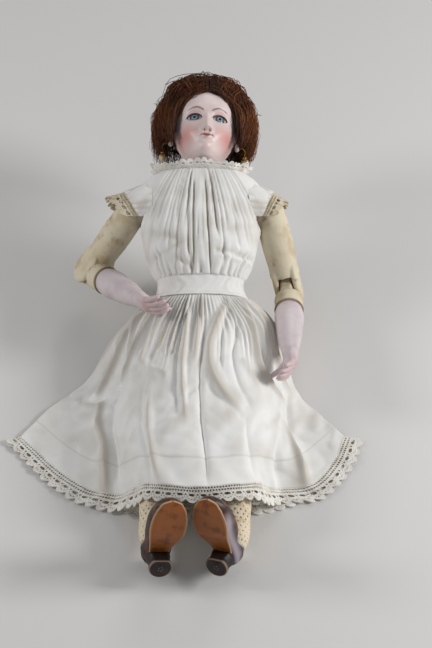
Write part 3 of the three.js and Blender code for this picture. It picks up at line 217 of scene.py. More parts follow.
def spine(level: float) -> Vector:
    """Point on the trunk's axis at a level above the hip, in metres."""
    return Vector((np.array([0, 0, POSE.hip_height]) + level * POSE.body().turn[:, 2]) * MM)


# Number helpers


def ease(low: float, high: float, value: Array) -> Array:
    """Smoothstep: 0 below low, 1 above high, 3t^2 - 2t^3 between."""
    t = np.clip((value - low) / (high - low), 0, 1)
    return t * t * (3 - 2 * t)


def bell(distance: Array, width: float) -> Array:
    """Gaussian of a distance: exp(-(distance / width)^2)."""
    return np.exp(-np.square(distance / width))


def smooth_rows(levels: Sequence[float], rows: Array, at: Array) -> Array:
    """Cubic through rows of values: Hermite pieces with the slopes of the neighbouring rows.

    Args:
        levels: increasing place of each row.
        rows: values, one row per level.
        at: places wanted.

    Returns:
        Values at those places, shape at.shape + rows.shape[1:].
    """
    x = np.asarray(levels, dtype=float)
    y = np.asarray(rows, dtype=float).reshape(len(x), -1)
    slope = np.gradient(y, x, axis=0)
    t = np.clip(np.asarray(at, dtype=float), x[0], x[-1])
    k = np.clip(np.searchsorted(x, t, side="right") - 1, 0, len(x) - 2)
    h = (x[k + 1] - x[k])[..., None]
    s = ((t - x[k]) / (x[k + 1] - x[k]))[..., None]
    value = (
        (2 * s**3 - 3 * s**2 + 1) * y[k]
        + (s**3 - 2 * s**2 + s) * h * slope[k]
        + (3 * s**2 - 2 * s**3) * y[k + 1]
        + (s**3 - s**2) * h * slope[k + 1]
    )
    return value.reshape(np.shape(t) + np.shape(rows)[1:])


def spaced(line: Sequence[Sequence[float]], count: int) -> Array:
    """Points evenly spaced along a smooth curve through the given points.

    Args:
        line: control points.
        count: number of points wanted.

    Returns:
        Array of shape (count, dimensions).
    """
    control = np.asarray(line, dtype=float)
    knots = np.concatenate([[0], np.cumsum(np.sqrt(np.linalg.norm(np.diff(control, axis=0), axis=1)))])
    fine = smooth_rows(knots, control, np.linspace(0, knots[-1], 12 * count))
    length = np.concatenate([[0], np.cumsum(np.linalg.norm(np.diff(fine, axis=0), axis=1))])
    wanted = np.linspace(0, length[-1], count)
    return np.column_stack([np.interp(wanted, length, column) for column in fine.T])


def ripple(place: Array, waves: Sequence[Triple]) -> Array:
    """Sum of sines: amplitude times sin(frequency * place + phase) over the waves."""
    return sum(size * np.sin(rate * place + phase) for size, rate, phase in waves)


def round_angles(count: int) -> Array:
    """Evenly spaced angles of one full turn, its end left out."""
    return np.linspace(0, math.tau, count, endpoint=False)


def stacked(x: Array, y: Array, z: Array) -> Array:
    """Points from coordinates whose shapes broadcast together."""
    return np.stack(np.broadcast_arrays(x, y, z), axis=-1)


def unit_grid(rows: int, columns: int) -> Pair:
    """Places down and across a grid, each from 0 to 1."""
    return tuple(np.meshgrid(np.linspace(0, 1, rows), np.linspace(0, 1, columns), indexing="ij"))


def signed_power(value: Array, power: Array | float) -> Array:
    """A power of a value's size, with the value's sign."""
    return np.sign(value) * np.abs(value) ** power


# Mesh helpers


def mesh_object(name: str, verts: Array, faces: Array, closed: bool = True) -> Object:
    """A smooth-shaded object from vertices in row-frame millimetres and quads.

    Args:
        name: object name.
        verts: (n, 3) vertices in millimetres.
        faces: (m, 4) vertex numbers; a triangle repeats its last corner.
        closed: whether faces are turned outward.

    Returns:
        The linked object, at the origin.
    """
    triangles = faces[:, 2] == faces[:, 3]
    counts = np.where(triangles, 3, 4)
    keep = np.ones(faces.shape, dtype=bool)
    keep[:, 3] = ~triangles
    mesh = bpy.data.meshes.new(name)
    mesh.vertices.add(len(verts))
    mesh.vertices.foreach_set("co", (np.asarray(verts) * MM).astype(np.float32).ravel())
    mesh.loops.add(int(counts.sum()))
    mesh.loops.foreach_set("vertex_index", faces[keep].astype(np.int32))
    mesh.polygons.add(len(faces))
    mesh.polygons.foreach_set("loop_start", np.concatenate([[0], np.cumsum(counts)[:-1]]).astype(np.int32))
    mesh.update(calc_edges=True)
    mesh.validate()
    if closed:
        work = bmesh.new()
        work.from_mesh(mesh)
        bmesh.ops.recalc_face_normals(work, faces=work.faces)
        work.to_mesh(mesh)
        work.free()
    mesh.shade_smooth()
    made = bpy.data.objects.new(name, mesh)
    bpy.context.scene.collection.objects.link(made)
    return made


def grid_faces(rows: int, columns: int, wrap: bool = False) -> Array:
    """Quads of a grid numbered row by row; wrap joins the last column to the first."""
    last = columns if wrap else columns - 1
    r, c = np.meshgrid(np.arange(rows - 1), np.arange(last), indexing="ij")
    n = (c + 1) % columns
    quads = [r * columns + c, r * columns + n, (r + 1) * columns + n, (r + 1) * columns + c]
    return np.stack(quads, axis=-1).reshape(-1, 4)


def capped_faces(rows: int, columns: int) -> Array:
    """Quads of a wrapped grid, and triangles from its end rows to two hubs numbered after it."""
    ring = np.arange(columns)
    after = np.roll(ring, -1)
    faces = [grid_faces(rows, columns, True)]
    for base, number in ((0, rows * columns), ((rows - 1) * columns, rows * columns + 1)):
        hub = np.full(columns, number)
        faces.append(np.column_stack([ring + base, after + base, hub, hub]))
    return np.vstack(faces)


def surface(name: str, points: Array, wrap: bool = False) -> Object:
    """An open object from (rows, columns, 3) points; wrap joins the last column to the first."""
    rows, columns = points.shape[:2]
    return mesh_object(name, points.reshape(-1, 3), grid_faces(rows, columns, wrap), closed=False)


def tube_parts(paths: Array, radius: Array | float, sides: int, up: Array) -> Pair:
    """Vertices and faces of round tubes swept along many paths of equal length.

    Args:
        paths: (tubes, steps, 3) centre lines.
        radius: radius, broadcast to (tubes, steps).
        sides: corners of the section.
        up: direction, broadcast to the paths, that no path runs along.

    Returns:
        Vertices (n, 3) and faces (m, 4), ends closed.
    """
    count, steps = paths.shape[:2]
    along = np.gradient(paths, axis=1)
    along /= np.linalg.norm(along, axis=2, keepdims=True) + 1e-12
    across = np.cross(along, np.broadcast_to(up, paths.shape))
    across /= np.linalg.norm(across, axis=2, keepdims=True) + 1e-12
    over = np.cross(across, along)
    size = np.broadcast_to(radius, (count, steps))[:, :, None, None]
    angle = round_angles(sides)[None, None, :, None]
    ring = np.cos(angle) * across[:, :, None, :] + np.sin(angle) * over[:, :, None, :]
    verts = (paths[:, :, None, :] + size * ring).reshape(-1, 3)
    one = grid_faces(steps, sides, wrap=True)
    step = steps * sides
    walls = (one[None] + (np.arange(count) * step)[:, None, None]).reshape(-1, 4)
    lid = np.array([[0, k, k + 1, k + 1] for k in range(1, sides - 1)])
    lids = np.vstack([lid, lid + step - sides])
    ends = (lids[None] + (np.arange(count) * step)[:, None, None]).reshape(-1, 4)
    return verts, np.vstack([walls, ends])


def join_parts(parts: Sequence[Pair]) -> Pair:
    """Several (vertices, faces) pairs as one pair."""
    verts, faces, base = [], [], 0
    for some, quads in parts:
        verts.append(some)
        faces.append(quads + base)
        base += len(some)
    return np.vstack(verts), np.vstack(faces)


def ball_parts(centre: Sequence[float], radii: Sequence[float], rows: int, columns: int) -> Pair:
    """Vertices and faces of a closed ellipsoid whose poles lie along Z."""
    lat = np.linspace(0, math.pi, rows + 2)[1:-1, None]
    lon = round_angles(columns)[None, :]
    ring = stacked(np.sin(lat) * np.cos(lon), np.sin(lat) * np.sin(lon), np.cos(lat))
    verts = np.vstack([ring.reshape(-1, 3), [[0, 0, 1], [0, 0, -1]]]) * np.array(radii)
    return verts + np.array(centre), capped_faces(rows, columns)


def loft_parts(rings: Array) -> Pair:
    """Vertices and faces of a closed loft through (rows, columns, 3) rings."""
    verts = np.vstack([rings.reshape(-1, 3), rings[0].mean(axis=0), rings[-1].mean(axis=0)])
    return verts, capped_faces(*rings.shape[:2])


def oval_rings(table: Sequence[Sequence[float]], ends: Span, rows: int, columns: int,
               offset: float = 0.0) -> Array:
    """Rings between two levels: across is half width times cosine, forward is depth times sine.

    Args:
        table: rows of level, half width, front depth and back depth.
        ends: first and last level.
        rows: number of rings.
        columns: points of a ring.
        offset: how far the rings are let out.

    Returns:
        Points (rows, columns, 3) with -Y forward.
    """
    values = np.array(table, dtype=float)
    level, wide, front, back = smooth_rows(values[:, 0], values, np.linspace(*ends, rows)).T
    angle = round_angles(columns)
    depth = np.where(np.sin(angle) > 0, front[:, None], back[:, None]) + offset
    return stacked((wide[:, None] + offset) * np.cos(angle), -depth * np.sin(angle), level[:, None])


def fused(name: str, parts: Sequence[Pair], cell: float, rounds: int) -> Object:
    """Overlapping closed forms melted into one skin by a voxel remesh and smoothing.

    Args:
        name: object name.
        parts: (vertices, faces) of the forms.
        cell: voxel size in millimetres.
        rounds: smoothing rounds.

    Returns:
        The object with the melted mesh.
    """
    verts, faces = join_parts(parts)
    made = mesh_object(name, verts, faces)
    remesh = made.modifiers.new("melt", "REMESH")
    remesh.mode = "VOXEL"
    remesh.voxel_size = cell * MM
    soft = made.modifiers.new("soften", "SMOOTH")
    soft.iterations = rounds
    soft.factor = 0.5
    bpy.context.view_layer.update()
    graph = bpy.context.evaluated_depsgraph_get()
    melted = bpy.data.meshes.new_from_object(made.evaluated_get(graph))
    made.modifiers.clear()
    made.data = melted
    melted.shade_smooth()
    return made


def vertices_of(made: Object) -> Array:
    """The mesh's vertices in row-frame millimetres."""
    flat = np.empty(3 * len(made.data.vertices), dtype=np.float32)
    made.data.vertices.foreach_get("co", flat)
    return flat.reshape(-1, 3).astype(float) / MM


def paint(made: Object, name: str, values: Array) -> None:
    """A float attribute on the mesh's vertices for its material to read."""
    store = made.data.attributes.new(name, "FLOAT", "POINT")
    full = np.zeros(len(made.data.vertices), dtype=np.float32)
    flat = np.asarray(values, dtype=np.float32).ravel()
    full[: len(flat)] = flat
    store.data.foreach_set("value", full)


def area_of(made: Object) -> float:
    """Sum of the mesh's face areas in square metres."""
    sizes = np.empty(len(made.data.polygons), dtype=np.float32)
    made.data.polygons.foreach_get("area", sizes)
    return float(sizes.sum())


def thicken(made: Object, thickness: float, offset: float = 0.0) -> None:
    """Give a sheet its thickness in millimetres; an offset of 0 puts half to each side, -1 all inside."""
    wall = made.modifiers.new("wall", "SOLIDIFY")
    wall.thickness = thickness * MM
    wall.offset = offset


def flat_size(made: Object, length: float) -> Span:
    """A sheet's flat width and length in metres: its area over its length in millimetres."""
    return area_of(made) / (length * MM), length * MM


def dress(made: Object, material: Material, node: str, body: str = "") -> None:
    """Give a piece its material, hide the CAD node that it stands for and, unless it is blended, attach it
    to its body.

    Args:
        made: the piece.
        material: its finish.
        node: the CAD node that it stands for.
        body: the body that it rides on, if it is only one.
    """
    made.data.materials.append(material)
    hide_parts(node)
    if body:
        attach(made, body)


# Finishes


def tone(red: int, green: int, blue: int) -> Colour:
    """A screen colour of 0 to 255 per channel as linear light."""
    parts = (channel / 255 for channel in (red, green, blue))
    return tuple(p / 12.92 if p <= 0.04045 else ((p + 0.055) / 1.055) ** 2.4 for p in parts)


class Shader:
    """One material's node tree, with short ways to add the nodes used here."""

    def __init__(self, name: str, roughness: float, specular: float = 0.5) -> None:
        """Start a material with a principled surface.

        Args:
            name: material name.
            roughness: surface roughness.
            specular: specular level.
        """
        self.material = bpy.data.materials.new(name)
        self.material.use_nodes = True
        self.tree = self.material.node_tree
        self.surface = self.tree.nodes["Principled BSDF"]
        self.set(**{"Roughness": roughness, "Specular IOR Level": specular})

    def set(self, **sockets: object) -> None:
        """Set constants on the surface's sockets by name, underscores for spaces."""
        for name, value in sockets.items():
            self.feed(self.surface.inputs[name.replace("_", " ")], value)

    def node(self, kind: str, **sockets: object) -> bpy.types.Node:
        """Add a node; each keyword is a socket's constant or another socket to link from."""
        made = self.tree.nodes.new(kind)
        for name, value in sockets.items():
            self.feed(made.inputs[name.replace("_", " ")], value)
        return made

    def feed(self, socket: Socket, value: object) -> None:
        """Link a socket or set its constant."""
        if isinstance(value, Socket):
            self.tree.links.new(value, socket)
        elif isinstance(value, tuple) and socket.type == "RGBA":
            socket.default_value = (*value, 1.0)
        else:
            socket.default_value = value

    def place(self) -> Socket:
        """Object coordinates, in metres."""
        return self.node("ShaderNodeTexCoord").outputs["Object"]

    def painted(self, name: str) -> Socket:
        """The value of a painted attribute."""
        made = self.node("ShaderNodeAttribute")
        made.attribute_name = name
        return made.outputs["Fac"]

    def noise(self, scale: float, detail: float = 3) -> Socket:
        """Noise over object coordinates, its scale per metre."""
        made = self.node("ShaderNodeTexNoise", Vector=self.place(), Scale=scale, Detail=detail)
        return made.outputs["Fac"]

    def ramp(self, factor: Socket, *stops: tuple[float, Colour]) -> Socket:
        """Colour along a factor, from (place, colour) stops."""
        made = self.node("ShaderNodeValToRGB", Fac=factor)
        band = made.color_ramp.elements
        while len(band) < len(stops):
            band.new(0.5)
        for element, (place, colour) in zip(band, stops):
            element.position = place
            element.color = (*colour, 1.0)
        return made.outputs["Color"]

    def level(self, factor: Socket, low: float, high: float, top: float = 1.0) -> Socket:
        """Map a factor from low..high to 0..top, clamped and eased."""
        made = self.node("ShaderNodeMapRange", Value=factor, From_Min=low, From_Max=high, To_Max=top)
        made.interpolation_type = "SMOOTHSTEP"
        return made.outputs["Result"]

    def over(self, below: object, factor: Socket, above: object) -> Socket:
        """One colour laid over another by a factor."""
        made = self.node("ShaderNodeMix")
        made.data_type = "RGBA"
        self.feed(made.inputs[0], factor)
        self.feed(made.inputs[6], below)
        self.feed(made.inputs[7], above)
        return made.outputs[2]

    def bump(self, height: Socket, distance: float, strength: float = 0.5) -> None:
        """Fine relief of the surface from a height, its depth in millimetres."""
        made = self.node("ShaderNodeBump", Height=height, Strength=strength, Distance=distance * MM)
        self.tree.links.new(made.outputs["Normal"], self.surface.inputs["Normal"])

    def colour(self, value: object) -> Material:
        """Set or link the base colour and give back the material."""
        self.feed(self.surface.inputs["Base Color"], value)
        return self.material


@dataclass(frozen=True)
class Bisque:
    """Fired bisque, mottled, with colours painted on by attributes."""

    name: str
    skin: Colour
    shade: Colour
    roughness: float
    specular: float
    mottle: float
    mottling: float
    paints: tuple[tuple[str, Colour], ...]

    def make(self) -> Material:
        """Skin mottled by noise, with each painted attribute laid over it."""
        s = Shader(self.name, self.roughness, self.specular)
        s.set(Coat_Weight=0.12, Coat_Roughness=0.3, Subsurface_Weight=0.06, Subsurface_Scale=0.002)
        base = s.over(self.skin, s.level(s.noise(self.mottle), 0.35, 0.75, self.mottling), self.shade)
        for attribute, colour in self.paints:
            base = s.over(base, s.painted(attribute), colour)
        s.bump(s.noise(1400), 0.05, 0.25)
        return s.colour(base)


FACE = Bisque("bisque_face", tone(226, 209, 206), tone(212, 192, 188), 0.42, 0.4, 55, 0.6, (
    ("blush", tone(206, 116, 104)),
    ("lip", tone(186, 84, 76)),
    ("line", tone(52, 30, 26)),
))
LIMB = Bisque("bisque_limb", tone(210, 198, 200), tone(190, 174, 178), 0.4, 0.45, 90, 0.7, (
    ("blush", tone(196, 146, 140)),
))


@dataclass(frozen=True)
class Kid:
    """Old kid leather: cream, browned in blots, creased, darker along its seams."""

    leather: Colour = tone(214, 203, 178)
    worn: Colour = tone(190, 170, 134)
    stain: Colour = tone(122, 78, 40)
    seam: Colour = tone(104, 70, 40)

    def make(self) -> Material:
        """Cream with wear from a broad noise, blots where a second noise is high, seams from their
        attribute.
        """
        s = Shader("kid", 0.62, 0.35)
        base = s.over(self.leather, s.level(s.noise(70), 0.42, 0.7, 0.85), self.worn)
        base = s.over(base, s.level(s.noise(130, 5), 0.58, 0.76, 0.65), self.stain)
        base = s.over(base, s.painted("seam"), self.seam)
        s.bump(s.noise(420, 5), 0.5, 0.5)
        return s.colour(base)


@dataclass(frozen=True)
class Cotton:
    """Washed off-white cotton with darker stitching, and painted shade of an ivory tone in its folds."""

    cloth: Colour = tone(231, 230, 227)
    aged: Colour = tone(197, 189, 177)
    stitch: Colour = tone(170, 158, 140)

    def make(self) -> Material:
        """Cloth mottled by noise toward an older tone; the fold attribute lays painted shade in the valleys
        of the folds and the stitch attribute darkens the stitching; a fine slubbed weave in relief.
        """
        s = Shader("cotton", 0.9, 0.2)
        s.set(Sheen_Weight=0.15, Sheen_Roughness=0.6)
        base = s.over(self.cloth, s.level(s.noise(38, 4), 0.42, 0.75, 0.4), self.aged)
        # painted shade: the fold attribute darkens the valleys of the folds with the same tone
        base = s.over(base, s.painted("fold"), self.aged)
        base = s.over(base, s.painted("stitch"), self.stitch)
        s.bump(s.noise(1100, 3), 0.14, 0.5)
        return s.colour(base)


@dataclass(frozen=True)
class Thread:
    """Cotton lace thread."""

    name: str
    pale: Colour
    dark: Colour

    def make(self) -> Material:
        """Two tones of thread mixed by noise."""
        s = Shader(self.name, 0.85, 0.2)
        return s.colour(s.over(self.pale, s.level(s.noise(160), 0.4, 0.7), self.dark))


@dataclass(frozen=True)
class Hair:
    """Auburn mohair; each strand has its own tone, and painted highlight lightens the outer strands toward
    their tips and on the crests of their waves.
    """

    # the darkest stop, which also colours the wig cap's painted shade
    root: Colour = tone(30, 17, 9)
    brown: Colour = tone(78, 42, 19)
    auburn: Colour = tone(114, 63, 29)
    straw: Colour = tone(152, 97, 52)

    def make(self) -> Material:
        """Ramp along the painted tone, which mixes strand and length and carries the painted highlight."""
        s = Shader("hair", 0.48, 0.3)
        stops = ((0.0, self.root), (0.4, self.brown), (0.75, self.auburn), (1.0, self.straw))
        return s.colour(s.ramp(s.painted("tone"), *stops))


@dataclass(frozen=True)
class EyeGlass:
    """Glass eye: black pupil, grey-blue iris with a dark rim, white ball."""

    pupil: Colour = tone(8, 8, 10)
    heart: Colour = tone(168, 178, 184)
    iris: Colour = tone(96, 112, 130)
    rim: Colour = tone(30, 36, 46)
    white: Colour = tone(226, 224, 222)

    def make(self) -> Material:
        """Ramp along the painted distance from the gaze's axis, under a clear coat."""
        s = Shader("eye_glass", 0.12, 0.5)
        s.set(Coat_Weight=0.6, Coat_Roughness=0.04)
        stops = (
            (0.0, self.pupil), (0.19, self.pupil), (0.24, self.heart), (0.4, self.iris), (0.52, self.iris),
            (0.58, self.rim), (0.64, self.rim), (0.69, self.white), (1.0, self.white),
        )
        return s.colour(s.ramp(s.painted("iris"), *stops))


@dataclass(frozen=True)
class Leather:
    """Shoe leather with scuffs, edge wear and an optional lighter colour painted by an attribute: its
    trimming and, on the left shoe's upper, a painted highlight.
    """

    name: str
    hide: Colour
    scuff: Colour
    trim: Colour
    roughness: float = 0.45

    def make(self) -> Material:
        """Hide scuffed by a fine noise in a broad one; trimming and painted highlight from their attribute.
        """
        s = Shader(self.name, self.roughness, 0.45)
        base = s.over(self.hide, s.level(s.noise(170, 6), 0.48, 0.68, 0.9), self.scuff)
        # the lighter colour is trimming and edges, and on the left shoe's upper a painted highlight
        base = s.over(base, s.painted("trim"), self.trim)
        s.bump(s.noise(700, 4), 0.25, 0.4)
        return s.colour(base)


@dataclass(frozen=True)
class Knit:
    """Cotton stocking knit, ribbed and a little soiled."""

    yarn: Colour = tone(222, 207, 182)
    soil: Colour = tone(184, 162, 130)

    def make(self) -> Material:
        """Two tones of yarn mixed by noise."""
        s = Shader("stocking", 0.85, 0.2)
        s.bump(s.noise(900), 0.2, 0.5)
        return s.colour(s.over(self.yarn, s.level(s.noise(120, 5), 0.45, 0.75, 0.9), self.soil))


@dataclass(frozen=True)
class Plain:
    """A hard finish mottled by noise: wood, steel, gilt, pearl, china or cork."""

    name: str
    colour: Colour
    mottle: Colour
    roughness: float
    metallic: float = 0.0
    coat: float = 0.0

    def make(self) -> Material:
        """Two tones mixed by noise on a surface of this roughness, metal and coat."""
        s = Shader(self.name, self.roughness)
        s.set(Metallic=self.metallic, Coat_Weight=self.coat, Coat_Roughness=0.1)
        return s.colour(s.over(self.colour, s.level(s.noise(220), 0.4, 0.7), self.mottle))


# Lace


@dataclass(frozen=True)
class LacePattern:
    """Crocheted edging: two rows of small holes, an oval hole in every scallop, fans of slits and picots.

    The pattern is drawn on a unit that is stretched to the pitch along the edging and to its depth across.
    """

    pitch: float = 8.0
    columns: int = 20
    rows: int = 38
    thread: float = 0.8
    unit: Span = (8.0, 15.0)
    mesh_rows: tuple[float, ...] = (1.7, 4.1)
    mesh_hole: float = 0.66
    oval: Triple = (7.6, 2.2, 1.2)
    slits: int = 5
    root: float = 9.0
    scallop: float = 5.2
    picots: int = 7

    def hole(self, s: Array, t: Array, place: Span, size: Span) -> Array:
        """Distance outside an oval hole: its scaled radius less one, times the smaller half size."""
        return (np.hypot((s - place[0]) / size[0], (t - place[1]) / size[1]) - 1) * min(size)

    def solid(self, p: Array, q: Array) -> Array:
        """How deep a place lies inside the thread: the least distance to any hole or to the scalloped edge.

        Args:
            p: place along the edging, in scallops.
            q: place across it, 0 at the cloth and 1 at the tips.

        Returns:
            Distances in pattern units, negative in holes and past the edge.
        """
        s = (p - np.floor(p) - 0.5) * self.unit[0]
        t = q * self.unit[1]
        step = self.unit[0] / 4
        depth = []
        for k, row in enumerate(self.mesh_rows):
            near = (s + 0.5 * step * (k + 1)) % step - 0.5 * step
            depth.append(self.hole(near, t, (0, row), (self.mesh_hole, self.mesh_hole * 1.25)))
        middle, wide, tall = self.oval
        depth.append(self.hole(s, t, (0, middle), (wide, tall)))
        depth.append(self.hole(np.abs(s), t, (self.unit[0] / 2, middle - 0.4), (0.75, 0.85)))
        for turn in np.linspace(-1.15, 1.15, self.slits):
            place = (3.1 * math.sin(turn), middle + 0.2 + 3.3 * math.cos(turn))
            depth.append(self.hole(s, t, place, (0.42, 0.5)))
        arch = np.sqrt(np.clip(1 - np.square(s / (0.52 * self.unit[0])), 0, 1))
        picot = 0.5 * np.abs(np.cos(0.5 * self.picots * np.arcsin(1 - arch)))
        depth.append(self.root + (self.scallop - 0.5) * arch + picot - t)
        return np.minimum.reduce(depth)

    def make(self, name: str, count: int, place: Callable[[Array, Array], Array]) -> Object:
        """A sheet of thread on a surface, its holes cut out and their edges drawn to the pattern's outline.

        Args:
            name: object name.
            count: scallops along the edging.
            place: surface point for along (0 to 1) and across (0 to 1).

        Returns:
            The edging as one object.
        """
        p = np.linspace(0, count, self.columns * count + 1)
        q, p = np.meshgrid(np.linspace(0, 1, self.rows + 1), p, indexing="ij")
        depth = self.solid(p, q)
        slope = np.stack(np.gradient(depth, q[1, 0], p[0, 1]), axis=-1)
        scale = np.array([1 / self.unit[1], 1 / self.unit[0]])
        reach = np.clip(depth, -0.3, 0.0) / (np.square(slope * scale).sum(axis=-1) + 0.3)
        drawn = np.stack([q, p], axis=-1) - reach[..., None] * slope * scale**2
        points = place(np.clip(drawn[..., 1] / count, 0, 1), np.clip(drawn[..., 0], 0, 1))
        stitch = 0.16 * np.sin(math.tau * 9 * p) * np.sin(math.tau * 13 * q)
        height = stitch + 0.3 * np.clip(depth, 0, 0.6)
        verts = (points + normals(points) * height[..., None]).reshape(-1, 3)
        faces = grid_faces(self.rows + 1, self.columns * count + 1)
        inside = depth.ravel() > 0
        faces = faces[inside[faces].sum(axis=1) >= 2]
        used, faces = np.unique(faces, return_inverse=True)
        made = mesh_object(name, verts[used], faces.reshape(-1, 4), closed=False)
        thicken(made, self.thread)
        return made


# Dress


@dataclass(frozen=True)
class Gathers:
    """Folds of gathered cloth as a height over place u across it and v down it, both 0 to 1."""

    pleats: int
    height: float
    fade: Span
    seed: int

    def at(self, u: Array, v: Array) -> Array:
        """Fine pleats of uneven size that fade between the two places down the cloth."""
        draw = np.random.default_rng(self.seed)
        wander = ripple(u, [(0.4 / k, math.tau * k * 3, draw.uniform(0, 6)) for k in range(1, 6)])
        uneven = [(0.35, math.tau * 7.3, draw.uniform(0, 6)), (0.3, math.tau * 12.1, 1.0)]
        strength = 1 + ripple(u, uneven)
        wave = np.sin(math.tau * self.pleats * u + 2 * wander)
        late = 0.12 * ripple(u, [(1.0, math.tau * 9.7, draw.uniform(0, 6))])
        return self.height * strength * (wave - 0.35 * wave**2) * (1 - ease(*self.fade, v - late))


@dataclass(frozen=True)
class Fold:
    """One long fold of the cloth along a path of (v, u) places; a valley where its height is negative."""

    path: tuple[Span, ...]
    height: float
    width: float
    crest: float = 1.7

    def at(self, u: Array, v: Array) -> Array:
        """exp(-|distance / width|^crest) across the fold, eased in and out along it."""
        down, across = np.array(self.path, dtype=float).T
        gap = np.abs(u - smooth_rows(down, across, v)) / self.width
        run = ease(down[0] - 0.03, down[0] + 0.12, v) * (1 - ease(down[-1] - 0.12, down[-1] + 0.05, v))
        return self.height * np.exp(-(gap**self.crest)) * run


@dataclass(frozen=True)
class Crease:
    """A short straight crease between two places."""

    start: Span
    end: Span
    height: float
    width: float

    def at(self, x: Array, y: Array) -> Array:
        """Height times the bell of the distance from the segment."""
        run = np.array(self.end) - np.array(self.start)
        t = np.clip(((x - self.start[0]) * run[0] + (y - self.start[1]) * run[1]) / (run @ run), 0, 1)
        away = np.hypot(x - self.start[0] - t * run[0], y - self.start[1] - t * run[1])
        return self.height * bell(away, self.width)


def crumple(x: Array, y: Array, seed: int) -> Array:
    """Fine crumpling of washed cloth: ridges 1 - 2 |sin| of slanted waves, each bent by a slower one."""
    draw = np.random.default_rng(seed)
    height = np.zeros(np.broadcast_shapes(x.shape, y.shape))
    for length in (10.0, 13.0, 17.0, 23.0, 29.0):
        heading, start, slow = draw.uniform(0, math.pi), draw.uniform(0, 6), draw.uniform(0, 6)
        along = x * math.cos(heading) + y * math.sin(heading)
        side = y * math.cos(heading) - x * math.sin(heading)
        bend = 1.6 * np.sin(side / length + slow) + 0.8 * np.sin(0.6 * along / length + 2 * slow)
        patch = ease(-0.2, 0.9, np.sin(0.045 * x + start) * np.sin(0.06 * y + slow) + 0.3)
        height += length / 23 * patch * (1 - 2 * np.abs(np.sin(math.pi * along / length + bend + start)))
    return height


def swept(lines: Sequence[Sequence[Sequence[float]]], rows: int, columns: int) -> Array:
    """Surface through cross lines: each line evenly spaced, then a smooth curve down every column."""
    control = np.stack([spaced(line, columns) for line in lines])
    step = np.linalg.norm(np.diff(control, axis=0), axis=2).mean(axis=1)
    levels = np.concatenate([[0], np.cumsum(step)])
    return smooth_rows(levels, control, np.linspace(0, levels[-1], rows))


def normals(points: Array) -> Array:
    """Unit normals of a grid of points: the cross product of its two gradients."""
    across = np.gradient(points, axis=1)
    down = np.gradient(points, axis=0)
    out = np.cross(across, down)
    return out / (np.linalg.norm(out, axis=2, keepdims=True) + 1e-9)


def above(points: Array, lie: float) -> Array:
    """Points kept above the floor: height becomes lie plus a softened positive part."""
    kept = points.copy()
    lift = kept[..., 2] - lie
    kept[..., 2] = lie + 0.5 * (lift + np.sqrt(lift * lift + 0.2))
    return kept


